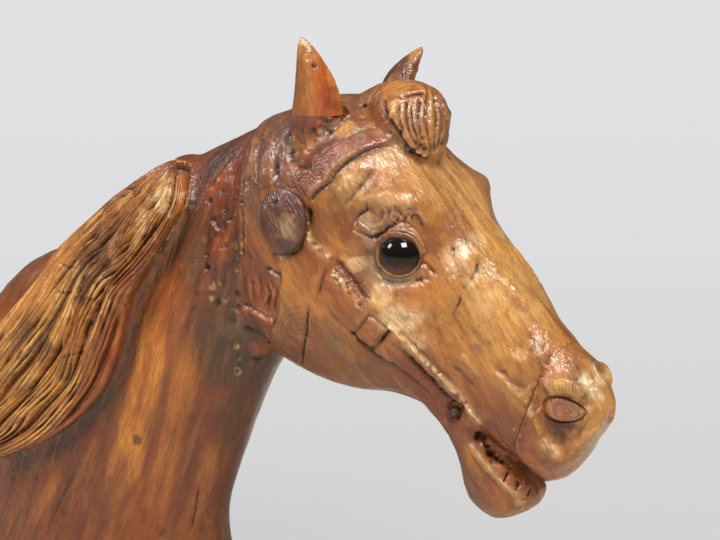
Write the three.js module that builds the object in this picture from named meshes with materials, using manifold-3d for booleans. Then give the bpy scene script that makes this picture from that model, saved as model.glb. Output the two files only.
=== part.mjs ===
// Bust of a carved wooden carousel horse: head, neck and one long mane lock, cut flat below.
// Millimetres. +X is the way the horse faces, +Y is its left side, +Z is up, and the flat base is at z = 0.
import * as THREE from 'three';
import { mergeVertices } from 'three/addons/utils/BufferGeometryUtils.js';
import Module from 'manifold-3d';

const wasm = await Module();
wasm.setup();

// ---- Driving dimensions, mm ----
const GLUE_GAP = 0.3; // between two pieces that are glued or set face to face
const REACH = 1000; // side of the block that stands for everything beyond a cut

// Cut lines seen from the side, each as two points [x, z] from its top to its bottom.
const NECK_JOINT = [[194, 345], [216, 190]]; // head block against neck block
const MUZZLE_JOINT = [[432, 234], [404, 156]]; // muzzle block against head block

const EYE_RADIUS = 14.5;
const EYE_DEPTH = 10; // height of the dome
const EYE_GIRDLE = 1.5; // straight edge behind the dome
const EYE_PLACE = [334, 57, 284]; // front of the glass
const EYE_LOOK = [0.22, 0.96, 0.12]; // the way the glass faces
const EYE_STEPS = 5; // facets from the rim of the dome to its crown
const EYE_SIDES = 20;

const ROSETTE_RADIUS = 21;
const ROSETTE_RIM = 3.2; // thickness at the rim
const ROSETTE_CROWN = 5.6; // thickness at the middle
const ROSETTE_PLACE = [247, 298]; // x, z of its middle
const ROSETTE_SEAT = 56; // distance of its flat back from the middle plane
const ROSETTE_LOOK = [-0.13, 0.99, 0.05]; // the way it faces on the left side
const ROSETTE_STEPS = 3; // facets from the middle to the rim
const ROSETTE_SIDES = 24;
const NAIL_RADIUS = 1.8; // the nail that fixes it
const NAIL_IN = 58; // distances of its two ends from the middle plane
const NAIL_OUT = 62;
const NAIL_PLACE = [243, 311];

const BIT_RADIUS = 2.6; // the metal stub left of the bit
const BIT_PLACE = [364, 180];
const BIT_IN = 25; // distances of its two ends from the middle plane
const BIT_OUT = 33;
const BIT_HOLE_RADIUS = 4.2; // the worn hole it stands in
const HOLE_OUT = 70; // every hole runs out to here
const PIN_SIDES = 12;

const EAR_HEIGHT = 51;
const EAR_BASE = [17.5, 11.5]; // half breadth and half depth at the glue line
const EAR_LEVEL = 367; // height of the glue line
const EAR_SINK = 30; // how far below the glue line the carved root of the ear starts
const EAR_ROOT_LEAN = 13; // how far the root starts nearer to the middle plane
const EAR_ROOT_SPREAD = 0.25; // how much broader it starts, as a share
const EAR_TURN = 35; // degrees that the ear's mouth is turned out from straight ahead
const EAR_BLUNT = 0.06; // breadth of the tip as a share of the foot's
const EAR_FULLNESS = 0.6; // how soon it narrows near the tip, less being later
const EAR_SIDES = 18;
// Each ear by the middle of its foot and its tip, its forward curl, and how slowly it narrows.
const EAR_SHAPES = {
  right: { foot: [262, 39, EAR_LEVEL], tip: [258, 51, EAR_LEVEL + EAR_HEIGHT], curl: 3, taper: 1.1 },
  left: { foot: [270, 39, EAR_LEVEL], tip: [283, 53, EAR_LEVEL + EAR_HEIGHT - 12], curl: -6, taper: 1.7 },
};

// Body sections: top and bottom [x, z] on the middle plane, half width, how far down the widest
// level lies (0 top, 1 bottom), and how square the section is above and below that level.
const NECK_SECTIONS = [
  { top: [-148, -30], bottom: [164, -34], half: 82, widest: 0.52, crown: 2.3, keel: 2.2 },
  { top: [-139, 30], bottom: [140, 6], half: 78, widest: 0.52, crown: 2.3, keel: 2.0 },
  { top: [-119, 110], bottom: [138, 46], half: 70, widest: 0.52, crown: 2.3, keel: 1.9 },
  { top: [-89, 182], bottom: [150, 82], half: 62, widest: 0.54, crown: 2.3, keel: 1.9 },
  { top: [-38, 232], bottom: [163, 114], half: 55, widest: 0.56, crown: 2.1, keel: 1.9 },
  { top: [18, 251], bottom: [175, 142], half: 50, widest: 0.58, crown: 1.8, keel: 1.9 },
  { top: [68, 287], bottom: [185, 164], half: 48, widest: 0.58, crown: 1.7, keel: 1.9 },
  { top: [118, 320], bottom: [195, 180], half: 47, widest: 0.56, crown: 1.7, keel: 1.9 },
  { top: [158, 339], bottom: [206, 190], half: 48, widest: 0.54, crown: 1.8, keel: 2.0 },
  { top: [198, 356], bottom: [224, 192], half: 49, widest: 0.52, crown: 2.0, keel: 2.1 },
];
const HEAD_SECTIONS = [
  { top: [152, 338], bottom: [196, 198], half: 46, widest: 0.52, crown: 1.9, keel: 2.0 },
  { top: [186, 354], bottom: [216, 190], half: 51, widest: 0.50, crown: 2.1, keel: 2.2 },
  { top: [224, 368], bottom: [246, 181], half: 56, widest: 0.48, crown: 2.3, keel: 2.6 },
  { top: [262, 377], bottom: [281, 178], half: 57, widest: 0.47, crown: 2.6, keel: 2.9 },
  { top: [299, 361], bottom: [310, 180], half: 55, widest: 0.47, crown: 3.0, keel: 2.9 },
  { top: [329, 337], bottom: [335, 176], half: 50, widest: 0.48, crown: 3.2, keel: 2.9 },
  { top: [352, 313], bottom: [349, 163], half: 42, widest: 0.48, crown: 3.0, keel: 2.9 },
  { top: [374, 290], bottom: [362, 158], half: 35, widest: 0.50, crown: 2.7, keel: 2.9 },
  { top: [395, 267], bottom: [378, 159], half: 31, widest: 0.53, crown: 2.7, keel: 2.6 },
  { top: [415, 245], bottom: [391, 153], half: 29, widest: 0.55, crown: 2.6, keel: 2.3 },
  { top: [432, 228], bottom: [404, 147], half: 29, widest: 0.55, crown: 2.5, keel: 2.3 },
  { top: [445, 219], bottom: [417, 139], half: 28, widest: 0.52, crown: 2.4, keel: 2.3 },
  { top: [453, 209], bottom: [430, 140], half: 24, widest: 0.50, crown: 2.2, keel: 2.2 },
  { top: [457, 196], bottom: [442, 153], half: 16, widest: 0.50, crown: 2.0, keel: 2.0 },
  { top: [456, 181], bottom: [452, 171], half: 3, widest: 0.50, crown: 2.0, keel: 2.0 },
];
const JAW_SECTIONS = [
  { top: [318, 230], bottom: [312, 198], half: 36, widest: 0.50, crown: 2.2, keel: 2.2 },
  { top: [340, 208], bottom: [334, 178], half: 34, widest: 0.50, crown: 2.2, keel: 2.2 },
  { top: [364, 186], bottom: [351, 157], half: 29, widest: 0.50, crown: 2.3, keel: 2.2 },
  { top: [381, 163], bottom: [357, 136], half: 25, widest: 0.40, crown: 2.8, keel: 2.2 },
  { top: [395, 147], bottom: [361, 114], half: 22, widest: 0.45, crown: 2.6, keel: 2.1 },
  { top: [405, 138], bottom: [381, 103], half: 20, widest: 0.50, crown: 2.4, keel: 2.1 },
  { top: [412, 130], bottom: [401, 111], half: 13, widest: 0.50, crown: 2.0, keel: 2.0 },
  { top: [414, 123], bottom: [411, 118], half: 2, widest: 0.50, crown: 2.0, keel: 2.0 },
];

// Carved swellings and hollows of the head, each as [x, y, z] on its left half, its reach along
// x, y and z, and how far it moves the surface there. The right half is the mirror image.
const HEAD_FORMS = [
  { at: [338, 44, 314], reach: [22, 24, 16], push: [5, 4, 5] }, // brow over the eye
  { at: [334, 50, 284], reach: [24, 26, 18], push: [1, 4, 0] }, // socket of the eye
  { at: [300, 50, 322], reach: [18, 22, 13], push: [0, -4, -1] }, // temple hollow
  { at: [332, 54, 258], reach: [34, 24, 11], push: [1, 3, 0] }, // cheekbone under the eye
  { at: [274, 56, 228], reach: [50, 30, 40], push: [0, 2, 0] }, // round cheek
  { at: [376, 32, 236], reach: [26, 18, 22], push: [0, -3, 0] }, // hollow beside the nose
  { at: [446, 30, 200], reach: [14, 16, 22], push: [2, 5, 2] }, // nostril wing
  { at: [420, 27, 168], reach: [18, 16, 12], push: [0, 3, -1] }, // upper lip
];
const NOSTRIL = { at: [446, 38, 196], radii: [13, 15, 17] };

// The mane lock, by its two edges as [x, y, z] on the right side, root first.
const MANE_FRONT = [
  [126, -12, 325], [136, -26, 314], [144, -39, 297], [138, -45, 279], [123, -50, 254], [107, -54, 231],
  [103, -57, 211], [97, -62, 183], [84, -66, 154], [58, -71, 128], [28, -76, 108], [-15, -76, 89],
  [-58, -68, 75], [-98, -54, 68],
];
const MANE_BACK = [
  [119, -3, 326], [105, -4, 320], [80, -5, 307], [53, -7, 290], [30, -9, 272], [12, -12, 257],
  [0, -20, 242], [-9, -32, 222], [-25, -40, 202], [-46, -46, 180], [-66, -50, 154], [-84, -49, 128],
  [-98, -46, 104], [-108, -44, 82],
];
const MANE_BULGE = 9; // how far the middle of the lock stands out from the line between its edges
const MANE_THICK = 13; // how much rounder it is than that, at its middle
const MANE_SINK = 24; // how far its inner side runs into the neck
const MANE_FLUTES = 5; // main tresses across the lock
const MANE_FLUTE_DEPTH = 1.6;
const MANE_SQUARE = 2.4; // how square the lock's section is, 2 being an ellipse
const MANE_RINGS = 24;
const MANE_SIDES = { outer: 24, inner: 6 }; // facets on its open side and inside the neck

const FORELOCK_RINGS = 13;
const FORELOCK_SIDES = 18;
// The forelock tuft, by stations from its root to its tip: middle [x, y, z], half width, half depth.
const FORELOCK = [
  { at: [262, 0, 360], half: 12, deep: 12 },
  { at: [281, 0, 366], half: 18, deep: 17 },
  { at: [298, -1, 367], half: 24, deep: 23 },
  { at: [313, -3, 362], half: 26, deep: 27 },
  { at: [324, -6, 353], half: 21, deep: 21 },
  { at: [330, -8, 345], half: 12, deep: 12 },
  { at: [333, -10, 338], half: 4, deep: 3 },
];

// ---- Finishes ----
const oldWood = new THREE.MeshStandardMaterial({ color: '#a8652d', roughness: 0.42, metalness: 0 });
const redWood = new THREE.MeshStandardMaterial({ color: '#8a4a26', roughness: 0.45, metalness: 0 });
const earWood = new THREE.MeshStandardMaterial({ color: '#b0602a', roughness: 0.38, metalness: 0 });
const eyeGlass = new THREE.MeshStandardMaterial({ color: '#2a140c', roughness: 0.05, metalness: 0 });
const oldIron = new THREE.MeshStandardMaterial({ color: '#5d5a56', roughness: 0.55, metalness: 0.9 });

// ---- Solids ----
// A closed solid from rings of points, each ring having the same count, with a middle point at each end.
function solidOfRings(rings) {
  const sides = rings[0].length;
  const positions = rings.flat();
  const triangles = [];
  for (let r = 0; r < rings.length - 1; r += 1) {
    for (let s = 0; s < sides; s += 1) {
      const next = (s + 1) % sides;
      const a = r * sides + s;
      const b = r * sides + next;
      triangles.push([a, b, b + sides], [a, b + sides, a + sides]);
    }
  }
  const ends = [
    { ring: rings[0], start: 0, turn: true },
    { ring: rings.at(-1), start: (rings.length - 1) * sides, turn: false },
  ];
  for (const { ring, start, turn } of ends) {
    const middle = new THREE.Vector3();
    ring.forEach((point) => middle.addScaledVector(point, 1 / sides));
    const hub = positions.push(middle) - 1;
    for (let s = 0; s < sides; s += 1) {
      const a = start + s;
      const b = start + ((s + 1) % sides);
      triangles.push(turn ? [hub, b, a] : [hub, a, b]);
    }
  }
  const geometry = new THREE.BufferGeometry().setFromPoints(positions);
  geometry.setIndex(triangles.flat());
  return toSolid(geometry);
}

// A geometry as a manifold solid, its faces turned out.
function toSolid(geometry) {
  const bare = geometry.clone();
  bare.deleteAttribute('normal');
  bare.deleteAttribute('uv');
  const merged = mergeVertices(bare, 1e-4);
  const positions = new Float32Array(merged.attributes.position.array);
  const triangles = new Uint32Array(merged.index.array);
  const build = (triVerts) => {
    const mesh = new wasm.Mesh({ numProp: 3, vertProperties: positions, triVerts });
    return new wasm.Manifold(mesh);
  };
  const solid = build(triangles);
  if (solid.volume() > 0) {
    return solid;
  }
  for (let t = 0; t < triangles.length; t += 3) {
    [triangles[t + 1], triangles[t + 2]] = [triangles[t + 2], triangles[t + 1]];
  }
  return build(triangles);
}

function toGeometry(solid) {
  const mesh = solid.getMesh();
  const geometry = new THREE.BufferGeometry();
  geometry.setAttribute('position', new THREE.BufferAttribute(new Float32Array(mesh.vertProperties), 3));
  geometry.setIndex(new THREE.BufferAttribute(new Uint32Array(mesh.triVerts), 1));
  geometry.computeVertexNormals();
  return geometry;
}

function sidePoint([x, z]) {
  return new THREE.Vector3(x, 0, z);
}

function smooth(points) {
  return new THREE.CatmullRomCurve3(points, false, 'catmullrom', 0.5);
}

// The point at an angle round a superellipse of unit half axes.
function superellipse(angle, power) {
  const c = Math.cos(angle);
  const s = Math.sin(angle);
  return [Math.sign(c) * Math.abs(c) ** (2 / power), Math.abs(s) ** (2 / power)];
}

// Rings of a body lofted through its sections, on smooth curves through their tops and bottoms.
function bodyRings(sections, ringCount, sideCount) {
  const tops = smooth(sections.map((s) => sidePoint(s.top)));
  const bottoms = smooth(sections.map((s) => sidePoint(s.bottom)));
  const shapes = smooth(sections.map((s) => new THREE.Vector3(s.half, s.widest, s.crown)));
  const keels = smooth(sections.map((s) => new THREE.Vector3(s.keel, 0, 0)));
  return Array.from({ length: ringCount }, (_, r) => {
    const t = r / (ringCount - 1);
    const top = tops.getPoint(t);
    const bottom = bottoms.getPoint(t);
    const shape = shapes.getPoint(t);
    const keel = keels.getPoint(t).x;
    const level = top.clone().lerp(bottom, shape.y);
    return Array.from({ length: sideCount }, (__, s) => {
      const angle = (2 * Math.PI * (s + 0.5)) / sideCount;
      const above = Math.sin(angle) > 0;
      const [across, along] = superellipse(angle, above ? shape.z : keel);
      const point = level.clone().lerp(above ? top : bottom, along);
      point.y = across * shape.x;
      return point;
    });
  });
}

// Moves points by soft bumps, the same on both halves of the head.
function sculpt(rings, forms) {
  for (const point of rings.flat()) {
    const side = Math.sign(point.y) || 1;
    const half = new THREE.Vector3(point.x, Math.abs(point.y), point.z);
    for (const form of forms) {
      const [dx, dy, dz] = form.at.map((value, axis) => (half.getComponent(axis) - value) / form.reach[axis]);
      const share = Math.exp(-(dx * dx + dy * dy + dz * dz));
      point.add(new THREE.Vector3(form.push[0], form.push[1] * side, form.push[2]).multiplyScalar(share));
    }
  }
  return rings;
}

function ellipsoid([x, y, z], [rx, ry, rz]) {
  return toSolid(new THREE.SphereGeometry(1, 16, 12).scale(rx, ry, rz).translate(x, y, z));
}

// The block on the front side of a cut line, moved forward by a distance.
function blockInFront([upper, lower], shift) {
  const along = sidePoint(upper).sub(sidePoint(lower)).normalize();
  const out = new THREE.Vector3(along.z, 0, -along.x);
  const middle = sidePoint(upper).lerp(sidePoint(lower), 0.5).addScaledVector(out, REACH / 2 + shift);
  const turn = new THREE.Matrix4().makeBasis(out, new THREE.Vector3(0, 1, 0), along).setPosition(middle);
  return toSolid(new THREE.BoxGeometry(REACH, REACH, REACH).applyMatrix4(turn));
}

// A turned piece whose axis points along a direction, its origin at a place.
function turned(profile, place, direction, segments) {
  const geometry = new THREE.LatheGeometry(profile.map(([x, y]) => new THREE.Vector2(x, y)), segments);
  const up = new THREE.Vector3(0, 1, 0);
  const turn = new THREE.Quaternion().setFromUnitVectors(up, direction.clone().normalize());
  return toSolid(geometry.applyQuaternion(turn).translate(...place.toArray()));
}

const onSide = (side, x, y, z) => new THREE.Vector3(x, side * y, z);

// A glass eye, a dome with a short girdle and a flat back, or the socket for it, larger by an extra.
function eye(side, extra) {
  const radius = EYE_RADIUS + extra;
  const spread = Math.acos(1 - EYE_DEPTH / EYE_RADIUS);
  const dome = Array.from({ length: EYE_STEPS + 1 }, (_, i) => {
    const angle = (spread * i) / EYE_STEPS;
    return [radius * Math.sin(angle), radius * Math.cos(angle) - EYE_RADIUS];
  });
  const back = -EYE_DEPTH - EYE_GIRDLE - extra;
  const profile = [...dome, [radius * Math.sin(spread), back], [0, back]].reverse();
  return turned(profile, onSide(side, ...EYE_PLACE), onSide(side, ...EYE_LOOK), EYE_SIDES);
}

// A rosette, or the seat for it, wider and deeper by an extra.
function rosette(side, extra) {
  const radius = ROSETTE_RADIUS + extra;
  const crown = Array.from({ length: ROSETTE_STEPS + 1 }, (_, i) => {
    const across = i / ROSETTE_STEPS;
    return [radius * across, ROSETTE_RIM + extra + (ROSETTE_CROWN - ROSETTE_RIM) * (1 - across ** 2)];
  });
  const profile = [...crown, [radius, -extra], [0, -extra]].reverse();
  const [x, z] = ROSETTE_PLACE;
  return turned(profile, onSide(side, x, ROSETTE_SEAT, z), onSide(side, ...ROSETTE_LOOK), ROSETTE_SIDES);
}

// A straight pin or hole across the middle plane, between two distances from that plane.
function pin(side, radius, [x, z], inner, outer) {
  const length = outer - inner;
  const profile = [[0, 0], [radius, 0], [radius, length], [0, length]];
  return turned(profile, onSide(side, x, inner, z), onSide(side, 0, 1, 0), PIN_SIDES);
}

// One ring of an ear, flat, its broad side turned out from straight ahead.
function earRing(side, middle, share, extra = 0) {
  const turn = THREE.MathUtils.degToRad(EAR_TURN);
  return Array.from({ length: EAR_SIDES }, (_, s) => {
    const angle = (2 * Math.PI * s) / EAR_SIDES;
    const along = (EAR_BASE[0] * share + extra) * Math.cos(angle);
    const across = (EAR_BASE[1] * share + extra) * Math.sin(angle);
    const x = along * Math.cos(turn) + across * Math.sin(turn);
    const y = across * Math.cos(turn) - along * Math.sin(turn);
    return middle.clone().add(onSide(side, x, y, 0));
  });
}

// An ear, a leaf-shaped horn that leans out from its foot to its tip, or the seat cut for it in
// the head, wider and lower by an extra.
function ear(side, { foot, tip, curl, taper }, extra) {
  const stations = 10;
  const low = onSide(side, ...foot);
  const high = onSide(side, ...tip);
  const rings = Array.from({ length: stations }, (_, r) => {
    const t = r / (stations - 1);
    const middle = low.clone().lerp(high, t);
    middle.x += curl * Math.sin(Math.PI * t);
    middle.z -= extra * (1 - t);
    return earRing(side, middle, Math.max(EAR_BLUNT, (1 - t ** taper) ** EAR_FULLNESS), extra);
  });
  return solidOfRings(rings);
}

// The root that is carved on the head under an ear, up to the glue line.
function earRoot(side, { foot }) {
  const stations = 4;
  const rings = Array.from({ length: stations }, (_, r) => {
    const t = r / (stations - 1);
    const middle = onSide(side, ...foot);
    middle.z -= EAR_SINK * (1 - t);
    middle.y -= side * EAR_ROOT_LEAN * (1 - t);
    return earRing(side, middle, 1 + EAR_ROOT_SPREAD * (1 - t) ** 2);
  });
  return solidOfRings(rings);
}

// The mane lock: a thick curved tress between its two edges.
function mane() {
  const front = new THREE.CatmullRomCurve3(MANE_FRONT.map((p) => new THREE.Vector3(...p)));
  const back = new THREE.CatmullRomCurve3(MANE_BACK.map((p) => new THREE.Vector3(...p)));
  const rings = Array.from({ length: MANE_RINGS }, (_, r) => {
    const t = r / (MANE_RINGS - 1);
    const a = front.getPoint(t);
    const b = back.getPoint(t);
    const reach = b.clone().sub(a);
    const fade = Math.sin(Math.PI * (0.1 + 0.84 * t)) ** 0.5;
    const out = new THREE.Vector3(0, -1, 0);
    return Array.from({ length: MANE_SIDES.outer + MANE_SIDES.inner }, (__, s) => {
      const open = s < MANE_SIDES.outer;
      const turn = open ? s / MANE_SIDES.outer : 1 + (s - MANE_SIDES.outer) / MANE_SIDES.inner;
      const [across, thick] = superellipse(Math.PI * turn, MANE_SQUARE);
      const share = 0.5 - across / 2;
      const flute = MANE_FLUTE_DEPTH * Math.cos(2 * Math.PI * MANE_FLUTES * share) * thick;
      const swell = MANE_BULGE * 4 * share * (1 - share) + MANE_THICK * thick - flute;
      const point = a.clone().addScaledVector(reach, share);
      return point.addScaledVector(out, (open ? swell : -MANE_SINK * thick) * fade);
    });
  });
  return solidOfRings(rings);
}

function forelock() {
  const line = new THREE.CatmullRomCurve3(FORELOCK.map((s) => new THREE.Vector3(...s.at)));
  const sizes = new THREE.CatmullRomCurve3(FORELOCK.map((s) => new THREE.Vector3(s.half, s.deep, 0)));
  const rings = Array.from({ length: FORELOCK_RINGS }, (_, r) => {
    const t = r / (FORELOCK_RINGS - 1);
    const middle = line.getPoint(t);
    const size = sizes.getPoint(t);
    const ahead = line.getTangent(t);
    const deep = new THREE.Vector3(0, 1, 0).cross(ahead).normalize();
    return Array.from({ length: FORELOCK_SIDES }, (__, s) => {
      const angle = (2 * Math.PI * s) / FORELOCK_SIDES;
      const point = middle.clone().addScaledVector(deep, size.y * Math.sin(angle));
      point.y += size.x * Math.cos(angle);
      return point;
    });
  });
  return solidOfRings(rings);
}

// ---- Pieces ----
const skull = solidOfRings(sculpt(bodyRings(HEAD_SECTIONS, 40, 34), HEAD_FORMS));
const jaw = solidOfRings(bodyRings(JAW_SECTIONS, 15, 18));
const neck = solidOfRings(bodyRings(NECK_SECTIONS, 24, 30));
const floorBlock = toSolid(new THREE.BoxGeometry(REACH, REACH, REACH).translate(0, 0, -REACH / 2));
const sides = { right: -1, left: 1 };

let muzzleBlock = skull.intersect(blockInFront(MUZZLE_JOINT, GLUE_GAP / 2));
let headBlock = skull.subtract(blockInFront(MUZZLE_JOINT, -GLUE_GAP / 2)).add(jaw).add(forelock());
headBlock = headBlock.intersect(blockInFront(NECK_JOINT, GLUE_GAP / 2));
const neckBlock = neck.subtract(blockInFront(NECK_JOINT, -GLUE_GAP / 2)).add(mane()).subtract(floorBlock);

const pieces = new Map();
for (const [name, side] of Object.entries(sides)) {
  const [x, y, z] = NOSTRIL.at;
  const nail = pin(side, NAIL_RADIUS, NAIL_PLACE, NAIL_IN, NAIL_OUT);
  const nailHole = pin(side, NAIL_RADIUS + GLUE_GAP, NAIL_PLACE, NAIL_IN - GLUE_GAP, HOLE_OUT);
  const bit = pin(side, BIT_RADIUS, BIT_PLACE, BIT_IN, BIT_OUT);
  const bitHole = pin(side, BIT_HOLE_RADIUS, BIT_PLACE, BIT_IN - GLUE_GAP, HOLE_OUT);
  muzzleBlock = muzzleBlock.subtract(ellipsoid([x, side * y, z], NOSTRIL.radii));
  headBlock = headBlock.add(earRoot(side, EAR_SHAPES[name]));
  for (const seat of [ear(side, EAR_SHAPES[name], GLUE_GAP), eye(side, GLUE_GAP), rosette(side, GLUE_GAP)]) {
    headBlock = headBlock.subtract(seat);
  }
  headBlock = headBlock.subtract(bitHole);
  pieces.set(`eye_${name}`, [eye(side, 0), eyeGlass]);
  pieces.set(`ear_${name}`, [ear(side, EAR_SHAPES[name], 0), earWood]);
  pieces.set(`rosette_${name}`, [rosette(side, 0).subtract(nailHole), redWood]);
  pieces.set(`nail_${name}`, [nail, oldIron]);
  pieces.set(`bit_stub_${name}`, [bit, oldIron]);
}
pieces.set('neck_block', [neckBlock, oldWood]);
pieces.set('head_block', [headBlock, oldWood]);
pieces.set('muzzle_block', [muzzleBlock, oldWood]);

const horse = new THREE.Group();
for (const [name, [solid, finish]] of pieces) {
  const mesh = new THREE.Mesh(toGeometry(solid), finish);
  mesh.name = name;
  horse.add(mesh);
}

export default horse;
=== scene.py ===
"""A carved wooden carousel horse, head and neck: the fine carving, finishes and stage round the CAD frame.

It is laid out as a Blender add-on and run as a script. Every length in the tools and routes is in
millimetres, and meshes are written in metres. +X is the way the horse faces, +Y its left, +Z up.
"""

import itertools
import math

import bpy
import numpy as np
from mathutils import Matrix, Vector
from mathutils.bvhtree import BVHTree


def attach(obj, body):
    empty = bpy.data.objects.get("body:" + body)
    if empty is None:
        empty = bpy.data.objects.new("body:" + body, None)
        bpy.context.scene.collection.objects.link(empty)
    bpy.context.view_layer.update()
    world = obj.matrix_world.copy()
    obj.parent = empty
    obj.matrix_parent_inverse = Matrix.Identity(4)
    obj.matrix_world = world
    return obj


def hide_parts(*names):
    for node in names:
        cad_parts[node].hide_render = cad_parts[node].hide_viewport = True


bl_info = {
    "name": "Carved carousel horse",
    "version": (1, 0, 0),
    "blender": (4, 5, 0),
    "location": "3D View > Sidebar > Horse",
    "description": "Carves and finishes an old wooden carousel horse's head and neck",
    "category": "Object",
}

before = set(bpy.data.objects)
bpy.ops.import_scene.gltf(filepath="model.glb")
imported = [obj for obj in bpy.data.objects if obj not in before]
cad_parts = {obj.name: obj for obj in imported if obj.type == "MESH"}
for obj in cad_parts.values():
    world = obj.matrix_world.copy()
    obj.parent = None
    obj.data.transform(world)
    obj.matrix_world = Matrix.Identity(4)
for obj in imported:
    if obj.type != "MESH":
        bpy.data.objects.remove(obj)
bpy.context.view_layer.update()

MM = 0.001
RIGHT, LEFT = 1, -1  # routes are given on the right side, and LEFT mirrors them
NEAR, BOTH = (RIGHT,), (RIGHT, LEFT)
SIDES = (("right", RIGHT), ("left", LEFT))


# ---- Colours and small sums ----
def linear(code):
    """An sRGB hex colour as linear red, green, blue."""
    shares = [int(code[i:i + 2], 16) / 255 for i in (1,3,5)]
    return [s / 12.92 if s <= 0.04045 else ((s + 0.055) / 1.055) ** 2.4 for s in shares]


def ease(value, low, high):
    """0 below low, 1 above high, smooth between."""
    share = np.clip((value - low) / (high - low), 0, 1)
    return share * share * (3 - 2 * share)


def unit(vectors):
    lengths = np.linalg.norm(vectors, axis=-1, keepdims=True)
    return vectors / np.maximum(lengths, 1e-9)


LATTICE = np.random.default_rng(11).random((32,32,32))


def noise(points, size, seed=0):
    """Smooth noise from -1 to 1 at points, with lumps of about a size. The size may differ by axis."""
    place = np.asarray(points) / size + 7.31 * seed
    cell = np.floor(place).astype(int)
    part = place - cell
    part = part * part * (3 - 2 * part)
    total = 0
    for corner in itertools.product((0, 1), repeat=3):
        weight = np.prod(np.where(corner, part, 1 - part), axis=1)
        i, j, k = ((cell + corner) % len(LATTICE)).T
        total = total + weight * LATTICE[i, j, k]
    return 2 * total - 1


def smooth_curve(route, step=1.0):
    """Points about a step apart on a smooth curve through a route."""
    route = np.asarray(route, float)
    ends = np.vstack([2 * route[0] - route[1], route, 2 * route[-1] - route[-2]])
    spans = []
    for a, b, c, d in zip(ends, ends[1:], ends[2:], ends[3:]):
        t = np.linspace(0, 1, max(2, int(np.linalg.norm(c - b) / step)), endpoint=False)[:, None]
        bend = (2 * a - 5 * b + 4 * c - d) * t ** 2 + (3 * b - a - 3 * c + d) * t ** 3
        spans.append(0.5 * (2 * b + (c - a) * t + bend))
    return np.vstack([*spans, route[-1:]])


# ---- Meshes ----
def take_up(piece):
    """Makes a piece the only one selected, and the active one."""
    bpy.ops.object.select_all(action="DESELECT")
    piece.select_set(True)
    bpy.context.view_layer.objects.active = piece


def read(items, key, width=1, kind=np.float32):
    """One property of all of a mesh's items, a row for each where it has several numbers."""
    flat = np.empty(width * len(items), kind)
    items.foreach_get(key, flat)
    return flat.reshape(-1, width) if width > 1 else flat


def points_of(mesh):
    return read(mesh.vertices, "co", 3).astype(float) / MM


def set_points(mesh, points):
    mesh.vertices.foreach_set("co", (points * MM).astype(np.float32).ravel())
    mesh.update()


def edges_of(mesh):
    return read(mesh.edges, "vertices", 2, np.int32)


def averaged(values, edges, times):
    """Each vertex's value averaged with its neighbours', a number of times."""
    a, b = edges.T
    count = len(values)
    degree = np.maximum(np.bincount(edges.ravel(), minlength=count), 1)
    columns = values.reshape(count, -1).copy()
    for _ in range(times):
        for column in columns.T:
            total = np.bincount(a, column[b], count) + np.bincount(b, column[a], count)
            column[:] = 0.5 * column + 0.5 * total / degree
    return columns.reshape(values.shape)


def new_piece(name, points=(), faces=()):
    mesh = bpy.data.meshes.new(name)
    mesh.from_pydata([tuple(p) for p in np.asarray(points) * MM] if len(points) else [], [], faces)
    piece = bpy.data.objects.new(name, mesh)
    bpy.context.scene.collection.objects.link(piece)
    return piece


def edit(piece, action, whole=True, **settings):
    """Runs an action of edit mode on a piece, on all of it or on the faces selected before."""
    take_up(piece)
    bpy.ops.object.mode_set(mode="EDIT")
    if whole:
        bpy.ops.mesh.select_all(action="SELECT")
    action(**settings)
    bpy.ops.object.mode_set(mode="OBJECT")


def copied_node(node, name):
    """A copy of a CAD node with its doubled vertices merged."""
    piece = new_piece(name)
    piece.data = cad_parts[node].data.copy()
    piece.data.name = name
    piece.data.materials.clear()
    edit(piece, bpy.ops.mesh.remove_doubles, threshold=0.002 * MM)
    return piece


def apply_modifier(piece, kind, **settings):
    take_up(piece)
    modifier = piece.modifiers.new(kind.title(), kind)
    for key, value in settings.items():
        setattr(modifier, key, value)
    bpy.ops.object.modifier_apply(modifier=modifier.name)


def remesh(piece, voxel, rounds=0):
    """Rebuilds a piece with even faces of a size in mm, and softens it."""
    apply_modifier(piece, "REMESH", mode="VOXEL", voxel_size=voxel * MM)
    if rounds:
        set_points(piece.data, averaged(points_of(piece.data), edges_of(piece.data), rounds))


def select_faces(piece, chosen):
    """Selects the faces whose centres, in mm, pass a test."""
    mesh = piece.data
    marks = chosen(read(mesh.polygons, "center", 3).astype(float) / MM)
    mesh.vertices.foreach_set("select", np.zeros(len(mesh.vertices), bool))
    mesh.edges.foreach_set("select", np.zeros(len(mesh.edges), bool))
    mesh.polygons.foreach_set("select", marks)
    bpy.context.tool_settings.mesh_select_mode = (False, False, True)


def refine(piece, chosen):
    """Splits each chosen face into four."""
    select_faces(piece, chosen)
    edit(piece, bpy.ops.mesh.subdivide, False, number_cuts=1)


def refine_round(piece, place, reach):
    refine(piece, lambda centre: np.linalg.norm(centre - place, axis=1) < reach)


def apply_boolean(piece, operation, cutter):
    """Cuts a piece with another one, which is used up."""
    apply_modifier(piece, "BOOLEAN", operation=operation, solver="MANIFOLD", object=cutter)
    bpy.data.objects.remove(cutter)


def prism(outline):
    """A block with an outline in x and z, 400 mm across the middle plane, to cut with."""
    count = len(outline)
    points = [(x, y, z) for y in (-200, 200) for x, z in outline]
    sides = [(i, (i + 1) % count, (i + 1) % count + count, i + count) for i in range(count)]
    cutter = new_piece("cutter", points, [tuple(range(count)), tuple(range(count, 2 * count)), *sides])
    face_outwards(cutter)
    return cutter


def face_outwards(piece):
    edit(piece, bpy.ops.mesh.normals_make_consistent, inside=False)


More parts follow.
